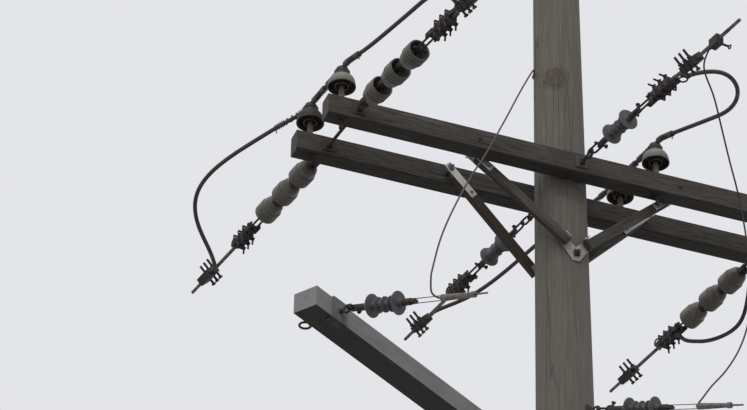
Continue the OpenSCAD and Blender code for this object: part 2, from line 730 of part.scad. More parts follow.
left_route = concat(joined(-1, -1),
    from_arms([[-908, -1003, 38], [-936, -990, 88], [-970, -962, 126], [-1002, -925, 137], [-1025, -860, 138],
        [-1040, -750, 152], [-1062, -600, 179], [-1082, -460, 201], [-1098, -350, 224]]),
    over_pin(-1, -outer_pin_x), over_pin(1, -outer_pin_x),
    from_arms([[-1240, 225, 195], [-1290, 275, 172], [-1389, 400, 127], [-1484, 550, 94],
        [-1537, 680, 51], [-1531, 800, 17], [-1470, 920, -15], [-1397, 1010, -36],
        [-1345, 1080, -46]]),
    reversed(joined(1, -1)));
centre_route = concat(joined(-1, 0),
    from_arms([[188, -955, 8], [240, -965, 32], [292, -985, 42], [347, -1005, 40],
        [401, -1000, 27], [465, -930, 30], [499, -840, 38], [515, -720, 66], [500, -620, 104], [484, -500, 148],
        [455, -360, 196]]),
    over_pin(-1, inner_pin_x), over_pin(1, inner_pin_x),
    from_arms([[345, 280, 220], [304, 450, 222], [263, 620, 233], [215, 800, 225],
        [130, 960, 150], [20, 1070, 60], [-60, 1128, 26], [-115, 1163, 4]]),
    reversed(joined(1, 0)));
right_route = concat(joined(-1, 1),
    from_arms([[1312, -995, -8], [1284, -980, 12], [1256, -955, 40], [1236, -925, 68], [1224, -860, 95],
        [1216, -750, 135], [1214, -600, 178], [1218, -460, 208], [1219, -340, 232]]),
    over_pin(-1, outer_pin_x), over_pin(1, outer_pin_x),
    from_arms([[1140, 290, 175], [1155, 340, 90], [1168, 395, -30], [1176, 460, -115],
        [1182, 520, -142], [1178, 590, -156], [1146, 690, -151], [1100, 750, -144],
        [1077, 790, -128], [1042, 832, -108], [1020, 850, -86]]),
    from_strain_clamp);

module jumper(route) {
    color(jumper_brown) cord(route, jumper_d, 2, 8);
}

// Dead-end arm
bracket_bolt_z = 150;
bracket_stand_off = 18;
bracket_w = 140;
de_offset = pole_r(de_z) + bracket_stand_off + de_w / 2;
de_eye_x = de_len / 2 - de_eye_inset;
ARM_ENDS = [-1, 1];

module on_de_arm() {
    translate([0, 0, de_z]) rotate([0, 0, de_yaw]) translate([0, de_offset, 0]) children();
}

module dead_end_arm() {
    color(fibreglass_grey) on_de_arm() difference() {
        translate([-de_len / 2, -de_w / 2, -de_h / 2]) cube([de_len, de_w, de_h]);
        translate([-de_len, -de_w / 2 + de_wall, -de_h / 2 + de_wall])
            cube([2 * de_len, de_w - 2 * de_wall, de_h - 2 * de_wall]);
        for (s = ARM_ENDS) translate([s * de_eye_x, 0, 0]) rotate([90, 0, 0])
            cylinder(h = 2 * de_w, d = bolt_d + hole_gap, center = true);
        for (s = ARM_ENDS) translate([s * (de_eye_x + 50), 0, -de_h / 2])
            cylinder(h = 3 * de_wall, d = 14, center = true);
    }
}

module dead_end_arm_caps() {
    inner = de_wall + seat_gap;
    color(fibreglass_grey) on_de_arm() for (s = [0, 1]) mirror([s, 0, 0])
        translate([de_len / 2, -de_w / 2, -de_h / 2]) {
            translate([seat_gap, 0, 0]) cube([4, de_w, de_h]);
            translate([-20, inner, inner]) cube([21, de_w - 2 * inner, de_h - 2 * inner]);
        }
}

// Gain bracket: a plate with flanges to the round pole, and a box round the arm
module dead_end_arm_bracket() {
    plate_h = 2 * bracket_bolt_z + 90;
    plate_y = -de_w / 2 - steel_t - seat_gap;
    rib_x = 58;
    widest = pole_r(de_z - plate_h / 2);
    rib_y = sqrt(widest * widest - rib_x * rib_x) + seat_gap - de_offset;
    color(steel_grey) on_de_arm() {
        difference() {
            translate([-bracket_w / 2, plate_y, -plate_h / 2]) cube([bracket_w, steel_t, plate_h]);
            for (up = SIDES) translate([0, -de_w / 2, up * bracket_bolt_z]) rotate([90, 0, 0])
                cylinder(h = 60, d = bolt_d + hole_gap, center = true);
        }
        for (s = [0, 1]) mirror([s, 0, 0])
            translate([rib_x, rib_y, -plate_h / 2]) cube([steel_t, plate_y - rib_y + 1, plate_h]);
        for (up = [0, 1]) mirror([0, 0, up])
            translate([-bracket_w / 2, plate_y, de_h / 2 + seat_gap])
                cube([bracket_w, de_w + 2 * steel_t + 2 * seat_gap, steel_t]);
        translate([-bracket_w / 2, de_w / 2 + seat_gap, -de_h / 2 - seat_gap - 1])
            cube([bracket_w, steel_t, de_h + 2 * seat_gap + 2]);
    }
}

// Tap places: -1 and 1 on the arm's front, 0 on the pole
TAPS = [-1, 0, 1];
saddle_t = 6;
tap_eye_s = 34;
tap_eye_r = 17;
tap_eye_wire = 10;
shackle_wire = 10;
bail_len = 145;
tap_link_len = 55.5;
centre_tap_fall = 2.4;
tap_bow_s = tap_eye_s + tap_eye_r - tap_eye_wire / 2 - shackle_wire / 2 - bearing_gap;
// The centre tap has a chain link more, and hangs steeper
function tap_pin_s(place) = 72 + (place == 0 ? tap_link_len - next_bow : 0);
function tap_fall(place) = tap_dip + (place == 0 ? centre_tap_fall : 0);
function grip_s(place) = tap_pin_s(place) + polymer_len + bail_len;
barrel_len = 150;
function tap_base(place) = place == 0
    ? [0, -pole_r(de_z + bracket_bolt_z), bracket_bolt_z]
    : [place * de_eye_x, de_offset - de_w / 2 - saddle_t - 2 * seat_gap, 0];
// The eye bolt stays level, and the insulator falls from its eye
module at_tap(place) {
    translate([0, 0, de_z]) rotate([0, 0, de_yaw]) translate(tap_base(place)) rotate([0, 0, -90]) children();
}
module on_tap(place) {
    at_tap(place) translate([tap_eye_s, 0, 0]) rotate([0, tap_fall(place), 0])
        translate([-tap_eye_s, 0, 0]) children();
}
function tap_point(place, v) = [0, 0, de_z] + turned(tap_base(place)
    + turned([tap_eye_s, 0, 0] + dipped(v - [tap_eye_s, 0, 0], tap_fall(place)), -90), de_yaw);

module dead_end_arm_bolts() {
    front = pole_r(de_z - bracket_bolt_z);
    back = de_offset - de_w / 2;
    color(rusty_steel) {
        // Through the pole above and below the arm: the upper one ends in the centre tap's eye
        translate([0, 0, de_z]) rotate([0, 0, de_yaw]) for (up = SIDES) translate([0, 0, up * bracket_bolt_z]) {
            translate([0, -front, 0]) rotate([-90, 0, 0]) cylinder(h = front + back + 30, d = bolt_d);
            translate([0, back, 0]) rotate([0, 0, 90]) washer_and_nut(12);
        }
        translate([0, 0, de_z - bracket_bolt_z]) rotate([0, 0, de_yaw - 90])
            translate([front + 1, 0, 0]) washer_and_nut(12);
        at_tap(0) translate([1, -washer_w / 2, -washer_w / 2]) cube([washer_t, washer_w, washer_w]);
        for (t = TAPS) at_tap(t) {
            translate([seat_gap, 0, 0]) rotate([0, 90, 0]) cylinder(h = tap_eye_s - tap_eye_r, d = 20);
            translate([tap_eye_s, 0, 0]) upright_eye(tap_eye_r, tap_eye_wire);
        }
        // Through the arm, with a ring eye at the back
        on_de_arm() for (s = ARM_ENDS) translate([s * de_eye_x, 0, 0]) {
            translate([0, saddle_t / -2 - seat_gap, 0]) rotate([90, 0, 0])
                cylinder(h = de_w + saddle_t + 2 * seat_gap + 2, d = bolt_d, center = true);
            translate([0, de_w / 2, 0]) rotate([0, 0, 90]) {
                translate([seat_gap, -washer_w / 2, -washer_w / 2]) cube([washer_t, washer_w, washer_w]);
                rotate([0, 90, 0]) cylinder(h = 38, d = 22);
                translate([60, 0, 0]) rotate_extrude($fn = 48) translate([24, 0]) circle(d = 10);
            }
        }
    }
}

// Saddle plates, with lips above and below the arm
module arm_saddles() {
    color(polymer_grey) on_de_arm() for (s = ARM_ENDS) translate([s * de_eye_x, 0, 0]) difference() {
        union() {
            translate([-47, -de_w / 2 - saddle_t - seat_gap, -de_h / 2 - saddle_t])
                cube([94, saddle_t, de_h + 2 * saddle_t]);
            for (up = [0, 1]) mirror([0, 0, up])
                translate([-47, -de_w / 2 - saddle_t - seat_gap, de_h / 2 + seat_gap])
                    cube([94, 40, saddle_t]);
        }
        rotate([90, 0, 0]) cylinder(h = 3 * de_w, d = 23, center = true);
    }
}

module tap_insulators() {
    color(polymer_grey) for (t = TAPS) on_tap(t) translate([tap_pin_s(t), 0, 0]) polymer_insulator();
}

module tap_fittings() {
    color(rusty_steel) for (t = TAPS) on_tap(t) {
        if (t == 0) translate([tap_bow_s, 0, 0]) chain_link(tap_link_len, 14, shackle_wire);
        start = t == 0 ? tap_bow_s + tap_link_len - next_bow : tap_bow_s;
        rotate([t == 0 ? 90 : 0, 0, 0]) {
            translate([start, 0, 0]) bow(tap_pin_s(t) - start + 6, bow_r, shackle_wire);
            translate([tap_pin_s(t), 0, 0]) {
                cross_pin();
                polymer_ends(t == 0 ? 0 : 90);
            }
        }
    }
}

// Dead-end grips: a bail through the tongue, a tapered barrel with a funnel, and the wire's end
module tap_grips() {
    bail_d = 4;
    bail_z = 11;
    funnel = 18;
    wire_out = 60;
    bearing = (pin_d + 1 - bail_d) / 2 - seat_gap;
    color(conductor_grey) for (t = TAPS) on_tap(t) {
        translate([tap_pin_s(t) + polymer_len + bearing, 0, 0]) {
            cylinder(h = 2 * bail_z + bail_d, d = bail_d, center = true);
            for (s = SIDES) translate([0, 0, s * bail_z]) rotate([0, 90, 0])
                cylinder(h = bail_len - bearing + 4, d = bail_d);
        }
        translate([grip_s(t), 0, 0]) rotate([0, 90, 0]) {
            cylinder(h = barrel_len, d1 = 30, d2 = 20);
            translate([0, 0, barrel_len]) cylinder(h = funnel, d = 26);
            translate([0, 0, barrel_len + funnel - 1]) cylinder(h = wire_out + 1, d = tap_wire_d);
        }
    }
}

// The jumper leaves the barrel's face between the bail's wires, the centre one straight up
function from_grip(place) = let (s = grip_s(place)) [for (v = place == 0
    ? [[-0.7, 0, 0], [-9, 1, 0], [-16, 8, 5], [-15, 14, 22], [-8, 22, 46]]
    : [[-0.7, 0, 0], [-14, -1, 1], [-30, -13, 6], [-44, -26, 24]])
    tap_point(place, v + [s, 0, 0])];
function from_tap_clamp(phase) = [for (d = [34, -34, -60])
    line_point(-1, phase, [tap_clamp_s + d, 0, tap_cord_off])];

left_tap_route = concat(from_grip(-1),
    from_arms([[-1058, -1075, -1450], [-1030, -1020, -1370], [-951, -900, -1134], [-839, -750, -864],
        [-687, -580, -533], [-562, -450, -287], [-401, -300, 56], [-261, -160, 363],
        [-160, -72, 572], [-128, -12, 612]]),
    [for (a = [170:-10:90]) let (z = arm_z + 790 - a, r = pole_r(z) + tap_wire_d / 2 + 0.5)
        [r * cos(a), r * sin(a), z]]);
centre_tap_route = concat(from_tap_clamp(0),
    from_arms([[170, -1170, -110], [264, -1070, -167], [368, -930, -221], [467, -800, -286],
        [561, -680, -345], [628, -600, -477], [662, -560, -658], [663, -550, -812],
        [634, -550, -966], [583, -550, -1103], [514, -550, -1222], [447, -550, -1309]]),
    reversed(from_grip(0)));
right_tap_route = concat(from_tap_clamp(1),
    from_arms([[1350, -1185, -125], [1410, -1040, -220], [1470, -700, -500], [1540, -300, -850],
        [1590, 100, -1150], [1590, 300, -1350]]),
    reversed(from_grip(1)));

module tap_jumpers() {
    color(jumper_brown) for (route = [left_tap_route, centre_tap_route, right_tap_route])
        cord(route, tap_wire_d, 4, 8);
}

pole();
crossarm(-1);  // near_crossarm
crossarm(1);  // far_crossarm
brace(-1, -1);  // near_left_brace
brace(-1, 1);  // near_right_brace
brace(1, -1);  // far_left_brace
brace(1, 1);  // far_right_brace
brace_straps();
vee_plates();
brace_bolts();
centre_through_bolt();
arming_bolt(-1);  // left_arming_bolt
arming_bolt(1);  // right_arming_bolt
insulator_pins();
pin_insulators();
bells(-1, -1);  // near_left_bells
bells(1, -1);  // far_left_bells
bells(-1, 1);  // near_right_bells
bells(1, 1);  // far_right_bells
bell_string_fittings(-1, -1);  // near_left_string_fittings
bell_string_fittings(1, -1);  // far_left_string_fittings
bell_string_fittings(-1, 1);  // near_right_string_fittings
bell_string_fittings(1, 1);  // far_right_string_fittings
centre_insulator(-1);  // near_centre_insulator
centre_insulator(1);  // far_centre_insulator
centre_string_fittings(-1);  // near_centre_string_fittings
centre_string_fittings(1);  // far_centre_string_fittings
strain_clamps();
clamp_bolts();
conductor_ends();
connectors();
tap_clamps();
jumper(left_route);  // left_jumper
jumper(centre_route);  // centre_jumper
jumper(right_route);  // right_jumper
dead_end_arm();
dead_end_arm_caps();
dead_end_arm_bracket();
dead_end_arm_bolts();
arm_saddles();
tap_insulators();
tap_fittings();
tap_grips();
tap_jumpers();
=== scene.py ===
"""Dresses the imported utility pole: its stage, its finishes and the fine detail of its hardware."""

import json
import math

import bmesh
import bpy
import numpy as np
from bpy.props import FloatProperty, FloatVectorProperty, IntProperty, PointerProperty
from mathutils import Matrix, Vector


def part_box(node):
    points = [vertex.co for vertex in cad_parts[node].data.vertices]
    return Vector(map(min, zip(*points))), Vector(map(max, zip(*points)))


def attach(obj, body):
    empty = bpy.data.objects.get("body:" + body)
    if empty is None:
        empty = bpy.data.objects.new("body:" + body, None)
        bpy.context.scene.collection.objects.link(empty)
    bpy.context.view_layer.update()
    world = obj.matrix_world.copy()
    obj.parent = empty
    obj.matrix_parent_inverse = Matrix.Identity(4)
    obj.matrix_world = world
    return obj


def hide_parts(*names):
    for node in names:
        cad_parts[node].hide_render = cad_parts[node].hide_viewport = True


bl_info = {
    "name": "Wooden Utility Pole",
    "version": (1, 0, 0),
    "blender": (4, 5, 0),
    "location": "3D View > Sidebar > Utility Pole",
    "description": "Finishes and fine detail for a wooden utility pole",
    "category": "Object",
}

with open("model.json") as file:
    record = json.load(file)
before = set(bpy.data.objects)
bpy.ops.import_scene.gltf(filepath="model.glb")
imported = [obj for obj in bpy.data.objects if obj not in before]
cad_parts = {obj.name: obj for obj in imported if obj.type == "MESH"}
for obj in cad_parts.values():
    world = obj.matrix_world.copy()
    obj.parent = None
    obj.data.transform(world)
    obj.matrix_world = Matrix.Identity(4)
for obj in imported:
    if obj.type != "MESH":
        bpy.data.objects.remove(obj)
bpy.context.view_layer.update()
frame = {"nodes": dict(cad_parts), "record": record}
NODES = frame["nodes"]
MOUNTS = {m["name"]: m for m in frame["record"]["mounts"]}
SLOTS = {s["node"]: s["material_slot"] for s in frame["record"]["subparts"]}
UP = Vector((0, 0, 1))


# Settings that a user would change

def colour(name, description, value):
    return FloatVectorProperty(name=name, description=description, subtype="COLOR",
                               default=value, min=0, max=1)


def size(name, description, value):
    return FloatProperty(name=name, description=description, unit="LENGTH",
                         default=value, min=0)


class StageSettings(bpy.types.PropertyGroup):
    """Camera, light and floor"""
    camera_place: FloatVectorProperty(
        name="Camera place", description="Where the camera stands", unit="LENGTH",
        default=(-4.837, -10.767, 1.630))
    camera_turn: FloatProperty(
        name="Camera turn", description="Turn of the view from +Y", unit="ROTATION",
        default=math.radians(-19.997))
    camera_rise: FloatProperty(
        name="Camera rise", description="How far the view looks up", unit="ROTATION",
        default=math.radians(35.299))
    camera_roll: FloatProperty(
        name="Camera roll", description="Roll of the view", unit="ROTATION",
        default=math.radians(1.177))
    lens: FloatProperty(
        name="Lens", description="Focal length in millimetres", default=150.67, min=1)
    floor_radius: size("Floor radius", "Radius of the pale floor", 60.0)
    background: colour("Background", "Colour behind the object", (0.775, 0.783, 0.815))
    floor_shade: FloatProperty(
        name="Floor shade", description="How much light the floor sends back", default=0.10,
        min=0, max=1)
    sky: FloatProperty(name="Sky", description="Strength of the sky's light", default=1.0, min=0)
    sun: FloatProperty(name="Sun", description="Strength of the soft sun", default=1.3, min=0)


class FinishSettings(bpy.types.PropertyGroup):
    """Colours of the pole's materials"""
    pole_wood: colour("Pole wood", "Weathered wood of the pole", (0.136, 0.126, 0.111))
    # pole_dark is also the colour of the painted shadow under the near crossarm
    pole_dark: colour("Pole dark", "Dark grain and painted shadow of the pole", (0.090, 0.082, 0.071))
    pole_brown: colour("Pole brown", "Brown stains on the pole", (0.070, 0.052, 0.043))
    arm_wood: colour("Arm wood", "Weathered wood of the crossarms", (0.082, 0.074, 0.066))
    # arm_dark is also the colour of painted shade: on faces turned down, and on the pins below the
    # crossarm
    arm_dark: colour("Arm dark", "Dark grain of the crossarms, and painted shade under parts", (0.030, 0.026, 0.022))
    arm_pale: colour("Arm pale", "Bleached fibres of the crossarms", (0.165, 0.155, 0.142))
    zinc: colour("Zinc", "Dull zinc coat", (0.345, 0.337, 0.316))
    # zinc_dark is also the colour of painted shade on galvanised faces turned down
    zinc_dark: colour("Zinc dark", "Stained zinc, and painted shade under zinc", (0.110, 0.104, 0.098))
    # Iron is also the colour of the painted shade in the bells' grooves
    iron: colour("Iron", "Dark weathered iron", (0.045, 0.038, 0.037))
    rust: colour("Rust", "Rust on iron and steel", (0.072, 0.045, 0.034))
    glaze: colour("Glaze", "Grey porcelain glaze", (0.130, 0.124, 0.108))
    # A painted highlight, laid on the upper skirts of the pin insulators
    glaze_highlight: colour("Painted glaze highlight", "Painted highlight on the pin insulators' shoulders", (0.190, 0.197, 0.178))
    glaze_brown: colour("Brown glaze", "Glaze of the darkest pin insulator", (0.030, 0.018, 0.018))
    # Also the colour of painted shade on the porcelain and silicone faces turned down
    glaze_dirt_and_shade: colour("Glaze dirt and shade", "Dirt and painted shade on the insulators", (0.060, 0.056, 0.044))
    silicone: colour("Silicone", "Polymer sheds", (0.088, 0.092, 0.100))
    dull_steel: colour("Dull steel", "Saddle plates", (0.120, 0.128, 0.135))
    gel_coat: colour("Gel coat", "Fibreglass arm", (0.200, 0.203, 0.201))
    strand: colour("Strand", "Weathered conductor strands", (0.140, 0.125, 0.112))
    covering: colour("Covering", "Brown covering of the jumpers", (0.058, 0.044, 0.041))
    tie_wire: colour("Tie wire", "Soft tie wire on the jumpers", (0.080, 0.070, 0.065))


class DetailSettings(bpy.types.PropertyGroup):
    """Sizes of the fine detail"""
    strand_count: IntProperty(
        name="Rods", description="Armour rods round each conductor", default=10, min=3)
    lay_length: size("Lay length", "Length of one turn of the rods", 0.170)
    thread_pitch: size("Thread pitch", "Pitch of the bolts' threads", 0.0022)
    thread_rise: size("Thread rise", "Height of the bolts' threads", 0.0009)
    tie_wire_d: size("Tie wire", "Diameter of the tie wire", 0.0052)
    tie_turns: IntProperty(
        name="Tie turns", description="Turns of tie wire beside each insulator", default=6, min=1)
    nail_d: size("Nail head", "Diameter of a nail's head", 0.012)
    strap_width: size("Strap width", "Width of the braces' straps", 0.038)
    strap_thickness: size("Strap thickness", "Thickness of the braces' straps", 0.005)


# Shader nodes

def plug(tree, socket, value):
    if isinstance(value, bpy.types.NodeSocket):
        tree.links.new(value, socket)
    else:
        socket.default_value = value


def put(tree, kind, sockets=None, **settings):
    """Adds a shader node, with its settings and its sockets' values or links."""
    made = tree.nodes.new("ShaderNode" + kind)
    for name, value in settings.items():
        setattr(made, name, value)
    for name, value in (sockets or {}).items():
        plug(tree, made.inputs[name], value)
    return made


def rgba(value):
    """A colour for a socket: a link as it is, or three numbers with full alpha."""
    return value if isinstance(value, bpy.types.NodeSocket) else (*value[:3], 1.0)


def mix(tree, factor, a, b):
    made = put(tree, "Mix", {0: factor, 6: rgba(a), 7: rgba(b)}, data_type="RGBA")
    return made.outputs[2]


def layered(tree, base, *layers):
    """Lays colours over a base, each with the mask that says where it shows."""
    for mask, tint in layers:
        base = mix(tree, mask, base, tint)
    return base


def shaded(tint, by):
    """A colour made lighter or darker."""
    return tuple(min(1, c * by) for c in tint)


def maths(tree, operation, a, b=0.0, use_clamp=False):
    return put(tree, "Math", {0: a, 1: b}, operation=operation, use_clamp=use_clamp).outputs[0]


def times(tree, a, b, use_clamp=False):
    return maths(tree, "MULTIPLY", a, b, use_clamp)


def part_of(tree, vector, axis):
    """One of a vector's three numbers."""
    return put(tree, "SeparateXYZ", {0: vector}).outputs[axis]


def ramp(tree, value, low, high, bottom=0.0, top=1.0):
    """Smoothly maps a value that goes from low to high onto bottom to top."""
    made = put(tree, "MapRange", {"Value": value, "From Min": low, "From Max": high,
                                  "To Min": bottom, "To Max": top},
               interpolation_type="SMOOTHSTEP")
    return made.outputs["Result"]


def stretched(tree, vector, scale):
    return put(tree, "Mapping", {"Vector": vector, "Scale": scale}).outputs[0]


def noise(tree, vector, scale, detail=3.0, roughness=0.55):
    made = put(tree, "TexNoise", {"Vector": vector, "Scale": scale, "Detail": detail,
                                  "Roughness": roughness})
    return made.outputs["Fac"]


def end_rings(tree, vector, scale, distortion, detail):
    """The year rings on sawn ends, round the Z axis of vector."""
    made = put(tree, "TexWave", {"Vector": stretched(tree, vector, (1, 1, 0)), "Scale": scale,
                                 "Distortion": distortion, "Detail": detail},
               wave_type="RINGS", rings_direction="Z")
    return made.outputs["Fac"]


def new_group(name, inputs, outputs, fill):
    """Builds a node group with named sockets, once. fill returns a socket for each output."""
    if name in bpy.data.node_groups:
        return bpy.data.node_groups[name]
    tree = bpy.data.node_groups.new(name, "ShaderNodeTree")
    for label, default in inputs.items():
        kind = "NodeSocketVector" if isinstance(default, tuple) else "NodeSocketFloat"
        tree.interface.new_socket(label, in_out="INPUT", socket_type=kind).default_value = default
    for label in outputs:
        tree.interface.new_socket(label, in_out="OUTPUT", socket_type="NodeSocketFloat")
    source = tree.nodes.new("NodeGroupInput").outputs
    sink = tree.nodes.new("NodeGroupOutput").inputs
    for label, made in zip(outputs, fill(tree, source)):
        tree.links.new(made, sink[label])
    return tree


def use_group(tree, group, **sockets):
    """Adds a node group. Its sockets' names have spaces where the arguments have underscores."""
    made = tree.nodes.new("ShaderNodeGroup")
    made.node_tree = group
    for name, value in sockets.items():
        plug(tree, made.inputs[name.replace("_", " ")], value)
    return made.outputs


def grain_group():
    """Long fibres, broad bands and drying cracks along Z."""
    def fill(tree, source):
        vector = source["Vector"]
        fibre = noise(tree, stretched(tree, vector, (1, 1, 0.03)), source["Fibre Scale"], 5, 0.7)
        broad = noise(tree, stretched(tree, vector, (1, 1, 0.06)), 13.0, 3)
        wander = noise(tree, stretched(tree, vector, (1, 1, 0.045)), source["Crack Scale"], 2, 0.4)
        off = maths(tree, "ABSOLUTE", maths(tree, "SUBTRACT", wander, 0.5))
        line = ramp(tree, off, 0.0, source["Crack Width"], 1.0, 0.0)
        place = noise(tree, stretched(tree, vector, (1, 1, 0.15)), 7.0, 2)
        crack = times(tree, line, ramp(tree, place, 0.47, 0.6))
        height = maths(tree, "SUBTRACT", times(tree, fibre, 0.5), crack)
        return fibre, broad, crack, height
    return new_group("Wood grain", {"Vector": (0.0, 0.0, 0.0), "Fibre Scale": 120.0,
                                    "Crack Scale": 16.0, "Crack Width": 0.012},
                     ["Fibre", "Bands", "Crack", "Height"], fill)


def grime_and_shade_group():
    """Dirt in blotches, and a mask of what faces down, for painted shade on faces turned down."""
    def fill(tree, source):
        # Painted shade: the more a face turns down, the darker it is painted
        shade_under = ramp(tree, times(tree, part_of(tree, source["Normal"], "Z"), -1.0), -0.1, 0.8)
        blotch = noise(tree, source["Vector"], source["Scale"], 6, 0.65)
        dirt = times(tree, ramp(tree, blotch, 0.42, 0.68), source["Amount"], True)
        return dirt, shade_under, blotch
    return new_group("Grime and shade", {"Vector": (0.0, 0.0, 0.0), "Normal": (0.0, 0.0, 1.0),
                               "Scale": 20.0, "Amount": 0.6}, ["Dirt", "Shade Under", "Blotch"], fill)


def rust_group():
    """Rust in patches with a rough skin."""
    def fill(tree, source):
        patch = noise(tree, source["Vector"], source["Scale"], 8, 0.7)
        mask = ramp(tree, maths(tree, "ADD", patch, source["Amount"]), 0.95, 1.12)
        skin = noise(tree, source["Vector"], 900.0, 3, 0.7)
        return mask, times(tree, maths(tree, "ADD", mask, 0.3), skin)
    return new_group("Rust", {"Vector": (0.0, 0.0, 0.0), "Scale": 60.0, "Amount": 0.5},
                     ["Rust", "Height"], fill)


def spot_group():
    """A soft spot round a place, with its own size along each axis."""
    def fill(tree, source):
        off = put(tree, "VectorMath", {0: source["Vector"], 1: source["Centre"]},
                  operation="SUBTRACT").outputs[0]
        part = put(tree, "VectorMath", {0: off, 1: source["Size"]}, operation="DIVIDE").outputs[0]
        away = put(tree, "VectorMath", {0: part}, operation="LENGTH").outputs["Value"]
        ragged = maths(tree, "SUBTRACT", noise(tree, source["Vector"], 35.0, 4), 0.5)
        return (ramp(tree, maths(tree, "ADD", away, ragged), 0.55, 1.0, 1.0, 0.0),)
    return new_group("Spot", {"Vector": (0.0, 0.0, 0.0), "Centre": (0.0, 0.0, 0.0),
                              "Size": (0.1, 0.1, 0.1)}, ["Spot"], fill)


def spots(tree, vector, places):
    """The largest of several spots, each a centre and a size."""
    total = None
    for centre, extent in places:
        one = use_group(tree, spot_group(), Vector=vector, Centre=centre, Size=extent)
        total = one[0] if total is None else maths(tree, "MAXIMUM", total, one[0])
    return total


def grime_and_shade_masks(tree, vector, normal, scale, amount):
    return use_group(tree, grime_and_shade_group(), Vector=vector, Normal=normal, Scale=scale, Amount=amount)


def rusty(tree, vector, scale, amount):
    return use_group(tree, rust_group(), Vector=vector, Scale=scale, Amount=amount)


def empty_tree(owner):
    """The node tree of a new material or world, with nothing in it."""
    owner.use_nodes = True
    owner.node_tree.nodes.clear()
    return owner.node_tree


def finish(name, paint):
    """A material whose paint function fills a Principled BSDF's sockets."""
    made = bpy.data.materials.new(name)
    tree = empty_tree(made)
    shader = put(tree, "BsdfPrincipled")
    put(tree, "OutputMaterial", {"Surface": shader.outputs[0]})
    place = put(tree, "TexCoord")
    paint(tree, shader, place.outputs["Object"], place.outputs["Normal"])
    return made


def coat(tree, shader, base, rough, relief=None, **plain):
    """Fills a shader: its colour, its roughness as a pattern with two levels, its relief as a
    height with a distance and a strength, and plain values that are the same all over."""
    pattern, smooth, coarse = rough
    plug(tree, shader.inputs["Base Color"], base)
    plug(tree, shader.inputs["Roughness"], ramp(tree, pattern, 0.3, 0.7, smooth, coarse))
    for name, value in plain.items():
        shader.inputs[name.replace("_", " ")].default_value = value
    if relief:
        height, distance, strength = relief
        made = put(tree, "Bump", {"Height": height, "Distance": distance, "Strength": strength})
        tree.links.new(made.outputs[0], shader.inputs["Normal"])


# Materials

def dirty(name, clean, dirt, scale, amount, rough, relief=None, **plain):
    """A plain coat with dirt in blotches; rough is two levels, relief a distance and a strength."""
    def paint(tree, shader, place, normal):
        grime_and_shade = grime_and_shade_masks(tree, place, normal, scale, amount)
        blotch = grime_and_shade["Blotch"]
        coat(tree, shader, mix(tree, grime_and_shade["Dirt"], clean, dirt), (blotch, *rough),
             relief and (blotch, *relief), **plain)
    return finish(name, paint)


# Stains, knots and a painted shadow of the pole, each a centre and a size
POLE_STAINS = [((-0.060, -0.100, 10.64), (0.085, 0.070, 0.085)),
               ((0.05, -0.15, 6.3), (0.09, 0.09, 0.4)),
               ((-0.13, -0.06, 7.4), (0.07, 0.07, 0.5)),
               ((0.12, 0.1, 5.1), (0.10, 0.10, 0.6))]
POLE_KNOTS_AND_ARM_SHADOW = [((0.075, -0.085, 10.62), (0.020, 0.020, 0.028)),
              # Painted shadow of the near crossarm on the pole just below it
              ((0.03, -0.13, 9.99), (0.13, 0.08, 0.07)),
              ((-0.05, -0.13, 8.05), (0.02, 0.02, 0.03)),
              ((0.13, 0.02, 9.3), (0.02, 0.02, 0.03)),
              ((-0.12, 0.09, 6.7), (0.025, 0.025, 0.035)),
              ((0.08, -0.15, 4.4), (0.025, 0.025, 0.035)),
              ((-0.02, -0.18, 2.7), (0.03, 0.03, 0.04))]
# Colours of the cracks in the pole and in the crossarms and braces
POLE_CRACK, ARM_CRACK = (0.018, 0.015, 0.013), (0.008, 0.007, 0.006)
# A bell's pitch along its string, and the start and the pitch of the ribs under it
BELL_PITCH, RIB_START, RIB_PITCH = 0.160, 0.085, 0.016


def pole_wood(colours):
    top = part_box("pole")[1].z

    def paint(tree, shader, place, normal):
        grain = use_group(tree, grain_group(), Vector=place, Fibre_Scale=150.0, Crack_Scale=17.0,
                          Crack_Width=0.011)
        grime_and_shade = grime_and_shade_masks(tree, stretched(tree, place, (1, 1, 0.3)), normal, 8.0, 0.7)
        torn = ramp(tree, noise(tree, place, 60.0, 4, 0.7), 0.38, 0.6, 0.35, 1.0)
        rings = end_rings(tree, place, 28.0, 2.5, 3.0)
        dark, wood = colours.pole_dark, colours.pole_wood
        base = layered(tree, dark,
                       (ramp(tree, grain["Fibre"], 0.35, 0.7), wood),
                       (ramp(tree, grain["Bands"], 0.35, 0.65, 0.0, 0.45), wood),
                       (times(tree, grime_and_shade["Dirt"], 0.35), dark),
                       (times(tree, spots(tree, place, POLE_STAINS), torn), colours.pole_brown),
                       # Knots, and the painted shadow under the near crossarm
                       (spots(tree, place, POLE_KNOTS_AND_ARM_SHADOW), dark),
                       (times(tree, grain["Crack"], 0.7), POLE_CRACK),
                       (ramp(tree, part_of(tree, place, "Z"), top - 0.002, top - 0.001),
                        mix(tree, rings, dark, wood)))
        coat(tree, shader, base, (grain["Fibre"], 0.95, 0.78), (grain["Height"], 0.006, 0.8),
             Specular_IOR_Level=0.25)
    return finish("pole_wood", paint)


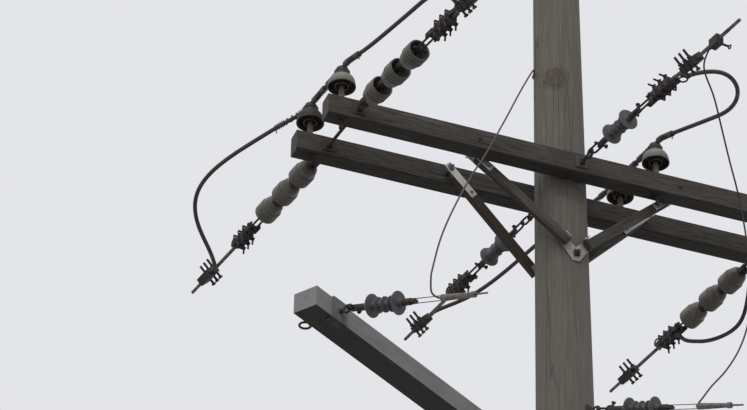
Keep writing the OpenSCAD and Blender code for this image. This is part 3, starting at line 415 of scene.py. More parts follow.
def arm_wood(name, grain_way, colours, rusted=()):
    """Sawn timber with its grain along grain_way; rusted are stains, each a centre and a size."""
    to_grain = Vector(grain_way).rotation_difference(UP).to_euler()
    ends = [v.co @ Vector(grain_way) for v in NODES[name].data.vertices]
    middle, reach = (max(ends) + min(ends)) / 2, (max(ends) - min(ends)) / 2

    def paint(tree, shader, place, normal):
        turned = put(tree, "Mapping", {"Vector": place, "Rotation": to_grain}).outputs[0]
        grain = use_group(tree, grain_group(), Vector=turned, Fibre_Scale=260.0, Crack_Scale=34.0,
                          Crack_Width=0.018)
        grime_and_shade = grime_and_shade_masks(tree, place, normal, 9.0, 0.8)
        dark, wood = colours.arm_dark, colours.arm_wood
        base = layered(tree, dark,
                       (ramp(tree, grain["Fibre"], 0.35, 0.7), wood),
                       (ramp(tree, grain["Bands"], 0.5, 0.75, 0.0, 0.5), colours.arm_pale),
                       (times(tree, grime_and_shade["Dirt"], 0.5), dark),
                       # Painted shade on faces turned down
                       (times(tree, grime_and_shade["Shade Under"], 0.45), dark))
        if rusted:
            base = mix(tree, times(tree, spots(tree, place, rusted), 0.45), base, colours.rust)
        off = maths(tree, "ABSOLUTE", maths(tree, "SUBTRACT", part_of(tree, turned, "Z"), middle))
        rings = ramp(tree, end_rings(tree, turned, 30.0, 3.0, 2.0), 0.0, 1.0, 0.35, 0.75)
        base = layered(tree, base,
                       (times(tree, grain["Crack"], 0.85), ARM_CRACK),
                       (ramp(tree, off, reach - 0.002, reach - 0.0005),
                        mix(tree, rings, dark, wood)))
        coat(tree, shader, base, (grain["Fibre"], 0.95, 0.75), (grain["Height"], 0.003, 0.8),
             Specular_IOR_Level=0.25)
    return finish(name + "_wood", paint)


def galvanised(colours):
    def paint(tree, shader, place, normal):
        spangle = put(tree, "TexVoronoi", {"Vector": place, "Scale": 110.0}).outputs["Color"]
        shade = put(tree, "SeparateColor", {0: spangle}).outputs[0]
        grime_and_shade = grime_and_shade_masks(tree, place, normal, 28.0, 0.75)
        rust = rusty(tree, place, 45.0, 0.36)
        base = layered(tree, colours.zinc,
                       (ramp(tree, shade, 0.0, 1.0, 0.0, 0.25), colours.zinc_dark),
                       (times(tree, grime_and_shade["Dirt"], 0.6), colours.zinc_dark),
                       # Painted shade on faces turned down
                       (times(tree, grime_and_shade["Shade Under"], 0.4), colours.zinc_dark),
                       (rust["Rust"], colours.rust))
        plug(tree, shader.inputs["Metallic"], maths(tree, "SUBTRACT", 0.35, rust["Rust"], True))
        coat(tree, shader, base, (grime_and_shade["Blotch"], 0.45, 0.75), (rust["Height"], 0.0006, 0.6))
    return finish("galvanised_steel", paint)


def rusty_iron(colours, name="rusty_steel", plate=None, zinc=0.0, above=None):
    """Dark iron. plate is a colour for the square plates on the crossarms' faces, with the
    faces' distance from the pole's axis. zinc is how much grey is left. above is a colour for
    what stands higher than a height, with painted shade below it."""
    def paint(tree, shader, place, normal):
        rust = rusty(tree, place, 38.0, 0.42)
        grime_and_shade = grime_and_shade_masks(tree, place, normal, 30.0, 0.6)
        base = layered(tree, colours.iron,
                       (rust["Rust"], colours.rust),
                       (times(tree, grime_and_shade["Dirt"], 0.35 + zinc), colours.zinc_dark))
        if plate:
            tint, face = plate
            off = maths(tree, "ABSOLUTE", part_of(tree, place, "Y"))
            band = maths(tree, "COMPARE", off, face + 0.004)
            band.node.inputs[2].default_value = 0.006
            stained = mix(tree, times(tree, grime_and_shade["Blotch"], 0.7), tint, colours.iron)
            base = mix(tree, band, base, stained)
        if above:
            tint, height = above
            high = ramp(tree, part_of(tree, place, "Z"), height, height + 0.001)
            washed = mix(tree, times(tree, grime_and_shade["Dirt"], 0.6), tint, colours.iron)
            # Painted shade: below the height the iron is mixed towards arm_dark
            base = mix(tree, high, mix(tree, 0.6, base, colours.arm_dark), washed)
        plug(tree, shader.inputs["Metallic"], maths(tree, "SUBTRACT", 0.15, rust["Rust"], True))
        coat(tree, shader, base, (grime_and_shade["Blotch"], 0.55, 0.9), (rust["Height"], 0.0007, 0.5),
             Specular_IOR_Level=0.15)
    return finish(name, paint)


def porcelain(name, start, way, colours):
    """Glaze with painted shade in the grooves under the bells of a string from start along way."""
    def paint(tree, shader, place, normal):
        away = put(tree, "VectorMath", {0: place, 1: start}, operation="SUBTRACT").outputs[0]
        along = put(tree, "VectorMath", {0: away, 1: way}, operation="DOT_PRODUCT").outputs["Value"]
        bell = maths(tree, "MODULO", along, BELL_PITCH)
        groove = maths(tree, "PINGPONG", maths(tree, "SUBTRACT", bell, RIB_START), RIB_PITCH / 2)
        # Painted shade in the grooves between the ribs
        dirt = ramp(tree, groove, 0.0012, 0.0050, 1.0, 0.0)
        within = times(tree, ramp(tree, bell, RIB_START - 0.004, RIB_START - 0.001),
                       ramp(tree, bell, 0.150, 0.153, 1.0, 0.0))
        dome = ramp(tree, bell, RIB_START - 0.022, RIB_START, 0.9, 0.0)
        grime_and_shade = grime_and_shade_masks(tree, place, normal, 26.0, 0.55)
        cloud = noise(tree, place, 9.0, 3)
        base = layered(tree, colours.glaze_dirt_and_shade,
                       (ramp(tree, cloud, 0.3, 0.7, 0.75, 1.0), colours.glaze),
                       (grime_and_shade["Dirt"], colours.glaze_dirt_and_shade),
                       # Painted shade on faces turned down
                       (times(tree, grime_and_shade["Shade Under"], 0.5), colours.glaze_dirt_and_shade),
                       (times(tree, dome, grime_and_shade["Blotch"]), colours.rust),
                       # Painted shade in the rib grooves, mixed towards iron
                       (times(tree, times(tree, dirt, within), 0.6), colours.iron))
        coat(tree, shader, base, (grime_and_shade["Blotch"], 0.22, 0.6), (grime_and_shade["Blotch"], 0.0004, 0.3),
             Specular_IOR_Level=0.35)
    return finish(name + "_glaze", paint)


def pin_porcelain(colours, dark_places):
    """A dirty head, a painted highlight on the shoulder and plain glaze on the rim; dark_places
    are brown insulators.
    """
    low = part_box("pin_insulators")[0].z

    def paint(tree, shader, place, normal):
        grime_and_shade = grime_and_shade_masks(tree, place, normal, 26.0, 0.5)
        height = part_of(tree, place, "Z")
        base = layered(tree, colours.glaze,
                       # Painted highlight: the glaze grows paler from the rim up to the shoulder
                       (ramp(tree, height, low - 0.012, low + 0.022), colours.glaze_highlight),
                       (times(tree, grime_and_shade["Dirt"], 0.6), colours.glaze_dirt_and_shade),
                       (ramp(tree, height, low + 0.036, low + 0.044, 0.0, 0.85), colours.iron),
                       (times(tree, spots(tree, place, dark_places), 0.92), colours.glaze_brown))
        coat(tree, shader, base, (grime_and_shade["Blotch"], 0.4, 0.7), (grime_and_shade["Blotch"], 0.0004, 0.3),
             Specular_IOR_Level=0.12)
    return finish("pin_porcelain", paint)


def pin_hollow(colours):
    """The dark inside of the pin insulators."""
    return dirty("pin_hollow", colours.glaze_brown, colours.glaze_dirt_and_shade, 30.0, 0.7, (0.5, 0.8))


def polymer(colours):
    def paint(tree, shader, place, normal):
        grime_and_shade = grime_and_shade_masks(tree, place, normal, 32.0, 0.45)
        chalk = noise(tree, place, 14.0, 5, 0.7)
        base = layered(tree, colours.silicone,
                       (ramp(tree, chalk, 0.4, 0.75, 0.0, 0.6), shaded(colours.silicone, 1.5)),
                       (grime_and_shade["Dirt"], colours.glaze_dirt_and_shade),
                       # Painted shade on faces turned down
                       (times(tree, grime_and_shade["Shade Under"], 0.35), colours.glaze_dirt_and_shade))
        coat(tree, shader, base, (chalk, 0.5, 0.8), (chalk, 0.0003, 0.4), Specular_IOR_Level=0.3)
    return finish("polymer_sheds", paint)


def dull_steel(colours):
    def paint(tree, shader, place, normal):
        grime_and_shade = grime_and_shade_masks(tree, place, normal, 24.0, 0.5)
        rust = rusty(tree, place, 50.0, 0.36)
        base = layered(tree, colours.dull_steel,
                       (grime_and_shade["Dirt"], colours.iron),
                       # Painted shade on faces turned down
                       (times(tree, grime_and_shade["Shade Under"], 0.9), colours.arm_dark),
                       (rust["Rust"], colours.rust))
        coat(tree, shader, base, (grime_and_shade["Blotch"], 0.5, 0.8), (rust["Height"], 0.0006, 0.5),
             Specular_IOR_Level=0.2)
    return finish("dull_steel", paint)


def fibreglass(grain_way, colours):
    to_grain = Vector(grain_way).rotation_difference(UP).to_euler()

    def paint(tree, shader, place, normal):
        turned = put(tree, "Mapping", {"Vector": place, "Rotation": to_grain}).outputs[0]
        fibre = noise(tree, stretched(tree, turned, (1, 1, 0.012)), 420.0, 4, 0.6)
        grime_and_shade = grime_and_shade_masks(tree, stretched(tree, turned, (1, 1, 0.25)), normal, 18.0, 0.45)
        dark = shaded(colours.gel_coat, 0.6)
        base = layered(tree, colours.gel_coat,
                       (ramp(tree, fibre, 0.35, 0.7, 0.0, 0.35), dark),
                       (grime_and_shade["Dirt"], dark),
                       # Painted shade on faces turned down
                       (times(tree, grime_and_shade["Shade Under"], 0.92), colours.arm_dark))
        coat(tree, shader, base, (fibre, 0.6, 0.8), (fibre, 0.0004, 0.5), Specular_IOR_Level=0.15)
    return finish("fibreglass", paint)


def strand_metal(colours):
    return dirty("conductor_aluminium", colours.strand, colours.iron, 40.0, 0.6, (0.45, 0.75),
                 (0.0002, 0.4), Metallic=0.35)


def covering(colours):
    def paint(tree, shader, place, normal):
        grime_and_shade = grime_and_shade_masks(tree, place, normal, 16.0, 0.5)
        fine = noise(tree, place, 160.0, 4, 0.7)
        base = layered(tree, colours.covering,
                       (grime_and_shade["Dirt"], shaded(colours.covering, 1.7)),
                       (ramp(tree, fine, 0.5, 0.75, 0.0, 0.12), colours.iron))
        coat(tree, shader, base, (grime_and_shade["Blotch"], 0.45, 0.75), (fine, 0.0002, 0.15),
             Specular_IOR_Level=0.2)
    return finish("jumper_covering", paint)


def soft_wire(colours):
    return dirty("tie_wire", colours.tie_wire, colours.zinc_dark, 60.0, 0.7, (0.4, 0.7),
                 Metallic=0.4)


# Meshes

# Corners nearer than this are one corner, in metres: in a CAD node, and in a mesh made here
JOINED, SAME = 1e-5, 1e-6
LATHE_STEPS = 48
# A thread starts this far from its bolt's tip; its wire's radius is a share of its height
THREAD_START, THREAD_WIRE = 0.001, 0.62


def dress(name, material):
    """Gives a CAD node its material."""
    thing = NODES[name]
    if thing.material_slots:
        thing.material_slots[0].material = material
    else:
        thing.data.materials.append(material)


def dress_slot(slot, material):
    for name in NODES:
        if SLOTS[name] == slot:
            dress(name, material)


def long_axis(points):
    """The direction in which points spread the most."""
    spread = np.array([tuple(p) for p in points])
    spread -= spread.mean(axis=0)
    way = np.linalg.svd(spread, full_matrices=False)[2][0]
    return Vector(way) * (1 if way[np.abs(way).argmax()] > 0 else -1)


def middle_of(points):
    """The middle of the box round points."""
    low = Vector(min(p[i] for p in points) for i in range(3))
    high = Vector(max(p[i] for p in points) for i in range(3))
    return (low + high) / 2


def mean_of(points):
    return sum(points, Vector()) / len(points)


def line_near(point):
    """The place, the direction and the sizes of the line end that is nearest to a point."""
    mount = min((m for n, m in MOUNTS.items() if n.endswith("_line")),
                key=lambda m: (Vector(m["pos_m"]) - point).length)
    return Vector(mount["pos_m"]), Vector(mount["axis"]).normalized(), mount["dims"]


def node_points(name):
    return [v.co.copy() for v in NODES[name].data.vertices]


def node_shape(name):
    """A bmesh of a CAD node, with the corners of its faces joined."""
    shape = bmesh.new()
    shape.from_mesh(NODES[name].data)
    bmesh.ops.remove_doubles(shape, verts=shape.verts, dist=JOINED)
    shape.verts.index_update()
    return shape


def in_order(corners):
    """A set's corners in an order that is the same in each run."""
    return sorted(corners, key=lambda v: v.index)


def solids(name):
    """The corners of each closed solid of a CAD node, from left to right."""
    shape = node_shape(name)
    left, found = set(shape.verts), []
    while left:
        part, edge = set(), {left.pop()}
        while edge:
            part |= edge
            edge = {e.other_vert(v) for v in edge for e in v.link_edges} & left
            left -= edge
        found.append([v.co.copy() for v in in_order(part)])
    shape.free()
    return sorted(found, key=lambda part: tuple(middle_of(part)))


def as_mesh(name, shape):
    """Turns a bmesh into a mesh, and frees it."""
    mesh = bpy.data.meshes.new(name)
    shape.to_mesh(mesh)
    shape.free()
    return mesh


def add_object(name, data):
    made = bpy.data.objects.new(name, data)
    bpy.context.scene.collection.objects.link(made)
    return made


def add_piece(name, shape, material, smooth=True):
    """Turns a bmesh into a named piece that rides on the pole."""
    bmesh.ops.recalc_face_normals(shape, faces=shape.faces)
    for face in shape.faces:
        face.smooth = smooth
    piece = add_object(name, as_mesh(name, shape))
    piece.data.materials.append(material)
    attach(piece, "root")
    return piece


def add_iron(name, shape):
    """A piece of flat faces in the steelwork's rusty steel."""
    return add_piece(name, shape, bpy.data.materials["rusty_steel"], False)


def across(way):
    """A direction square to way."""
    return way.orthogonal().normalized()


def facing(place, way):
    """The matrix that moves the origin to place and turns Z along way."""
    return Matrix.Translation(place) @ UP.rotation_difference(way).to_matrix().to_4x4()


def merge(shape, part):
    """Adds one bmesh to another and frees it."""
    mesh = as_mesh("part", part)
    shape.from_mesh(mesh)
    bpy.data.meshes.remove(mesh)


def wire_section(shape, centre, way, off, radius, sides, phase=0.0, cap_ends=False):
    """The round section of a wire that is then spun about an axis, as its corners."""
    side = Matrix.Rotation(phase, 3, way) @ across(way)
    lie = Matrix((side, way, side.cross(way))).transposed().to_4x4()
    made = bmesh.ops.create_circle(shape, cap_ends=cap_ends, segments=sides, radius=radius,
                                   matrix=Matrix.Translation(centre + side * off) @ lie)
    return made["verts"]


def helix(shape, start, way, centre_off, wire_r, pitch, turns, steps, sides, phase=0.0):
    """Winds a round wire about an axis, in steps to a turn, with its ends closed."""
    part = bmesh.new()
    way = way.normalized()
    wire_section(part, start, way, centre_off, wire_r, sides, phase, True)
    count = max(2, round(turns * steps))
    bmesh.ops.spin(part, geom=part.faces[:], cent=start, axis=way, angle=math.tau * turns,
                   steps=count, dvec=way * (pitch * turns / count))
    merge(shape, part)


def ring(shape, centre, way, major, minor, segments=28, sides=8):
    """A closed ring of round wire about an axis."""
    corners = wire_section(shape, centre, way.normalized(), major, minor, sides)
    edges = list(dict.fromkeys(e for v in corners for e in v.link_edges))
    bmesh.ops.spin(shape, geom=edges, cent=centre, axis=way, angle=math.tau, steps=segments,
                   use_merge=True)


def lathe(shape, foot, axis, profile):
    """A body turned about an axis, from radii and distances along it in millimetres."""
    part = bmesh.new()
    side = across(axis)
    corners = [part.verts.new(foot + side * (r / 1000) + axis * (x / 1000)) for r, x in profile]
    edges = [part.edges.new(pair) for pair in zip(corners, corners[1:])]
    bmesh.ops.spin(part, geom=edges + corners, cent=foot, axis=axis, angle=math.tau,
                   steps=LATHE_STEPS, use_merge=True)
    bmesh.ops.remove_doubles(part, verts=part.verts, dist=SAME)
    bmesh.ops.recalc_face_normals(part, faces=part.faces)
    merge(shape, part)


def rod(shape, start, end, radius, sides, tip=None):
    """A round rod between two points, with a narrower tip if one is given."""
    bmesh.ops.create_cone(shape, cap_ends=True, segments=sides, radius1=radius,
                          radius2=radius if tip is None else tip, depth=(end - start).length,
                          matrix=facing((start + end) / 2, end - start))


def thread(shape, tip, centre, way, length, detail):
    """The crests of a screw thread on a bolt that is there already, from its tip's corners."""
    radius = max((p - centre).length for p in tip)
    helix(shape, centre + way * THREAD_START, way, radius, detail.thread_rise * THREAD_WIRE,
          detail.thread_pitch, length / detail.thread_pitch, steps=10, sides=3)


def tube_along(name, points, radius, material, sides=3):
    """A round wire through points, made a mesh."""
    line = bpy.data.curves.new(name, "CURVE")
    line.dimensions = "3D"
    line.bevel_depth = radius
    line.bevel_resolution = sides
    line.use_fill_caps = True
    path = line.splines.new("POLY")
    path.points.add(len(points) - 1)
    for spot, point in zip(path.points, points):
        spot.co = (*point, 1)
    holder = add_object(name + "_line", line)
    mesh = bpy.data.meshes.new_from_object(holder)
    bpy.data.objects.remove(holder)
    shape = bmesh.new()
    shape.from_mesh(mesh)
    bpy.data.meshes.remove(mesh)
    bmesh.ops.remove_doubles(shape, verts=shape.verts, dist=SAME)
    return add_piece(name, shape, material)


# Operators

class UTILITYPOLE_OT_stage(bpy.types.Operator):
    """Adds the floor, the light and the camera"""
    bl_idname = "utilitypole.stage"
    bl_label = "Stage"

    # The sun's width in the sky, and the way to it
    SUN_WIDTH, SUN_WAY = math.radians(70), (-0.55, -0.65, 0.9)
    # How far the camera sees, in metres
    VIEW_END = 500

    def execute(self, context):
        stage = context.scene.pole_stage
        self.add_floor(stage)
        self.add_sky(context.scene, stage)
        self.add_sun(stage)
        self.add_camera(context.scene, stage)
        context.scene.view_settings.view_transform = "Standard"
        return {"FINISHED"}

    def two_tints(self, tree, lighting, seen):
        """One colour for the light that is sent out, and one for what is seen."""
        path = put(tree, "LightPath").outputs
        sight = maths(tree, "MAXIMUM", path["Is Camera Ray"],
                      maths(tree, "MAXIMUM", path["Is Glossy Ray"], path["Is Transmission Ray"]))
        return mix(tree, sight, lighting, seen)

    def add_floor(self, stage):
        shape = bmesh.new()
        bmesh.ops.create_circle(shape, cap_ends=True, segments=96, radius=stage.floor_radius)
        floor = add_object("floor", as_mesh("floor", shape))
        made = bpy.data.materials.new("floor")
        tree = empty_tree(made)
        shade = stage.floor_shade
        tint = self.two_tints(tree, (shade, shade, shade * 0.95), stage.background)
        surface = put(tree, "BsdfDiffuse", {"Color": tint})
        put(tree, "OutputMaterial", {"Surface": surface.outputs[0]})
        floor.data.materials.append(made)

    def add_sky(self, scene, stage):
        sky = bpy.data.worlds.new("soft sky")
        tree = empty_tree(sky)
        tint = self.two_tints(tree, (stage.sky, stage.sky, stage.sky), stage.background)
        light = put(tree, "Background", {"Color": tint, "Strength": 1.0})
        put(tree, "OutputWorld", {"Surface": light.outputs[0]})
        scene.world = sky

    def add_sun(self, stage):
        lamp = bpy.data.lights.new("soft sun", "SUN")
        lamp.energy = stage.sun
        lamp.angle = self.SUN_WIDTH
        sun = add_object("soft sun", lamp)
        sun.rotation_euler = Vector(self.SUN_WAY).to_track_quat("Z", "Y").to_euler()

    def add_camera(self, scene, stage):
        turn, rise, roll = stage.camera_turn, stage.camera_rise, stage.camera_roll
        look = Vector((-math.sin(turn) * math.cos(rise), math.cos(turn) * math.cos(rise),
                       math.sin(rise)))
        level = Vector((math.cos(turn), math.sin(turn), 0))
        above = level.cross(look)
        right = level * math.cos(roll) + above * math.sin(roll)
        upward = above * math.cos(roll) - level * math.sin(roll)
        lens = bpy.data.cameras.new("camera")
        lens.lens = stage.lens
        lens.clip_end = self.VIEW_END
        scene.camera = add_object("camera", lens)
        turned = Matrix((right, upward, -look)).transposed().to_4x4()
        scene.camera.matrix_world = Matrix.Translation(stage.camera_place) @ turned


class UTILITYPOLE_OT_pole(bpy.types.Operator):
    """Gives the pole its weathered wood and a painted shadow, with the heads of nails"""
    bl_idname = "utilitypole.pole"
    bl_label = "Pole"

    # Nails: a height, and an angle round the pole from +X
    NAILS = [(9.33, -120), (9.07, -100), (8.2, -75), (7.1, -110), (10.55, -60), (10.35, -140),
             (6.2, -95), (4.0, -80), (3.2, -130), (1.7, -100), (1.62, -85), (9.9, 60), (8.1, 120),
             (2.4, 40)]
    # How deep a nail's head is set in the wood, the shank's length and the head's height
    NAIL_SET, SHANK, HEAD = 0.0015, 0.02, 0.0025
    # The radii of a nail's shank and of its head's top, as shares of the head's diameter
    SHANK_SHARE, TOP_SHARE = 0.3, 0.42

    def execute(self, context):
        dress("pole", pole_wood(context.scene.pole_finish))
        self.add_nails(context.scene.pole_detail)
        return {"FINISHED"}

    def add_nails(self, detail):
        low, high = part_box("pole")
        corners = node_points("pole")
        foot = max(math.hypot(p.x, p.y) for p in corners if p.z < low.z + 0.01)
        top = max(math.hypot(p.x, p.y) for p in corners if p.z > high.z - 0.01)
        shape = bmesh.new()
        for height, angle in self.NAILS:
            radius = foot + (top - foot) * (height - low.z) / (high.z - low.z)
            out = Vector((math.cos(math.radians(angle)), math.sin(math.radians(angle)), 0))
            skin = out * (radius - self.NAIL_SET) + UP * height
            rod(shape, skin - out * self.SHANK, skin, detail.nail_d * self.SHANK_SHARE, 10)
            rod(shape, skin, skin + out * self.HEAD, detail.nail_d / 2, 14,
                detail.nail_d * self.TOP_SHARE)
        add_iron("pole_nails", shape)


class UTILITYPOLE_OT_timber(bpy.types.Operator):
    """Gives the crossarms and braces their wood and stains, and painted shade underneath"""
    bl_idname = "utilitypole.timber"
    bl_label = "Crossarms and braces"

    # The brace that the photograph shows browner than the others, and the size of its stain
    BROWN_BRACE, ALL_OVER = "far_left_brace", (1.0, 1.0, 1.0)
    # The stains under the bolts: their middle above the crossarm's lower edge, and their size
    STAIN_RISE, STAIN = 0.028, (0.045, 0.03, 0.06)

    def execute(self, context):
        colours = context.scene.pole_finish
        for name in NODES:
            if SLOTS[name] == "arm_wood":
                rusted = self.rust_under_bolts(name) if "crossarm" in name else ()
                if name == self.BROWN_BRACE:
                    rusted = [(middle_of(node_points(name)), self.ALL_OVER)]
                dress(name, arm_wood(name, long_axis(node_points(name)), colours, rusted))
        return {"FINISHED"}

    def rust_under_bolts(self, name):
        """Stains on the outer face of a crossarm, below its through bolts."""
        low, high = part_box(name)
        face = low.y if low.y < 0 else high.y
        places = []
        for bolt in ("left_arming_bolt", "centre_through_bolt", "right_arming_bolt"):
            near = [p for p in node_points(bolt) if abs(p.y - face) < 0.01]
            x = sum(p.x for p in near) / len(near)
            places.append(((x, face, low.z + self.STAIN_RISE), self.STAIN))
        return places


class UTILITYPOLE_OT_steelwork(bpy.types.Operator):
    """Gives the steel and iron pieces their zinc, dirt and rust, and painted shade underneath"""
    bl_idname = "utilitypole.steelwork"
    bl_label = "Steelwork"

    # Bolts through the crossarms, with the names of their materials and the plates' colours
    PLATED = [("centre_through_bolt", "centre_bolt", (0.080, 0.089, 0.098)),
              ("left_arming_bolt", "left_bolt", (0.060, 0.052, 0.037)),
              ("right_arming_bolt", "right_bolt", (0.060, 0.052, 0.037))]
    PIN_COLOUR = (0.120, 0.110, 0.078)

    def execute(self, context):
        colours = context.scene.pole_finish
        dress_slot("galvanised_steel", galvanised(colours))
        dress_slot("rusty_steel", rusty_iron(colours))
        dress_slot("dull_steel", dull_steel(colours))
        dress("clamp_bolts", rusty_iron(colours, "clamp_bolts", zinc=0.5))
        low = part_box("near_crossarm")[0]
        for node, name, tint in self.PLATED:
            dress(node, rusty_iron(colours, name, (tint, -low.y)))
        # The pins get painted shade below the near crossarm's lower face
        dress("insulator_pins", rusty_iron(colours, "pin_iron", above=(self.PIN_COLOUR, low.z)))
        return {"FINISHED"}


class UTILITYPOLE_OT_straps(bpy.types.Operator):
    """Forges a flat strap for the upper end of each brace"""
    bl_idname = "utilitypole.straps"
    bl_label = "Brace straps"

    # How far a strap goes on past its bolt, how far down it starts, and its gap to the brace
    REACH, LENGTH, GAP = 0.026, 0.130, 0.0004
    # The width of the bevel on its edges
    BEVEL = 0.0012
    # The outer plate: where it starts and ends below the brace's top, and its share of the width
    PLATE_TOP, PLATE_END, PLATE_SHARE = 0.002, 0.092, 0.8
    # Rivets: distances from the ends of the strap and of the plate, radii and heights
    STRAP_RIVET, PLATE_RIVET = 0.024, 0.018
    RIVET_R, RIVET_TIP, RIVET_IN, RIVET_OUT = 0.009, 0.006, 0.002, 0.004
    # The bolt's radius and how far it comes out, and its square nut
    BOLT_R, BOLT_OUT = 0.006, 0.020
    NUT, NUT_OFF = (0.026, 0.026, 0.010, 1), 0.0055

    def execute(self, context):
        shape = bmesh.new()
        heads = bmesh.new()
        bolts = [middle_of(part) for part in solids("brace_bolts")]
        for name in NODES:
            if name.endswith("_brace"):
                bolt = min(bolts, key=lambda b: (b - self.top_of(name)).length)
                self.strap(shape, heads, name, bolt, context.scene.pole_detail)
        bevelled = [e for e in shape.edges if e.calc_face_angle(0) > 1]
        bmesh.ops.bevel(shape, geom=bevelled, offset=self.BEVEL, segments=2, affect="EDGES",
                        profile=0.5, material=-1)
        straps = add_piece("flat_straps", shape, bpy.data.materials["galvanised_steel"],
                           False)
        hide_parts("brace_straps")
        add_iron("strap_rivets", heads)
        return {"FINISHED"}

    def top_of(self, name):
        """The middle of a brace's upper end."""
        points = node_points(name)
        way = long_axis(points)
        way = way if way.z > 0 else -way
        middle = middle_of(points)
        return middle + way * max((p - middle) @ way for p in points)

    def strap(self, shape, heads, name, bolt, detail):
        """A straight strap on the brace's inner face, held off the crossarm by its bolt, and on
        the near side a plate on the outer face too."""
        side = -1 if name.startswith("near") else 1
        points = node_points(name)
        top = self.top_of(name)
        way = (top - middle_of(points)).normalized()
        inward = UP.cross(way).normalized()
        inward = inward if inward.y * side < 0 else -inward
        half = max(abs((p - top) @ inward) for p in points)
        low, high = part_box(name.split("_")[0] + "_crossarm")
        face = high.y if side < 0 else low.y
        thick = detail.strap_thickness
        start = top + inward * (half + thick / 2 + self.GAP)
        reach = (start - Vector((bolt.x, 0, bolt.z))) @ inward / inward.y
        head = Vector((bolt.x, reach, bolt.z))
        foot = start - way * self.LENGTH
        along = (head - foot).normalized()
        wide = along.cross(inward).normalized() * detail.strap_width
        self.strip(shape, [foot, head + along * self.REACH], wide, thick)
        outer = Vector((0, -side, 0))
        rod(heads, Vector((bolt.x, face, bolt.z)), head + outer * self.BOLT_OUT, self.BOLT_R, 16)
        nut = facing(head + outer * (thick / 2 + self.NUT_OFF), outer) @ Matrix.Diagonal(self.NUT)
        bmesh.ops.create_cube(heads, size=1, matrix=nut)
        self.rivet(heads, foot + along * self.STRAP_RIVET + inward * thick / 2, inward)
        if side > 0:
            return
        back = top - inward * (half + thick / 2 + self.GAP)
        broad = way.cross(inward).normalized() * detail.strap_width * self.PLATE_SHARE
        self.strip(shape, [back - way * self.PLATE_TOP, back - way * self.PLATE_END], broad, thick)
        self.rivet(heads, back - way * (self.PLATE_END - self.PLATE_RIVET) - inward * thick / 2,
                   -inward)

    def rivet(self, heads, spot, out):
        rod(heads, spot - out * self.RIVET_IN, spot + out * self.RIVET_OUT, self.RIVET_R, 16,
            self.RIVET_TIP)

    def strip(self, shape, line, wide, thick):
        """A flat strip of plate, along a line through its middle."""
        part = bmesh.new()
        corners = [part.verts.new(p - wide / 2) for p in line]
        edges = [part.edges.new(pair) for pair in zip(corners, corners[1:])]
        made = bmesh.ops.extrude_edge_only(part, edges=edges)["geom"]
        bmesh.ops.translate(part, vec=wide,
                            verts=[v for v in made if isinstance(v, bmesh.types.BMVert)])
        bmesh.ops.recalc_face_normals(part, faces=part.faces)
        bmesh.ops.solidify(part, geom=part.faces[:], thickness=thick)
        shift = mean_of([v.co for v in part.verts])
        bmesh.ops.translate(part, vec=mean_of(line) - shift, verts=part.verts)
        merge(shape, part)


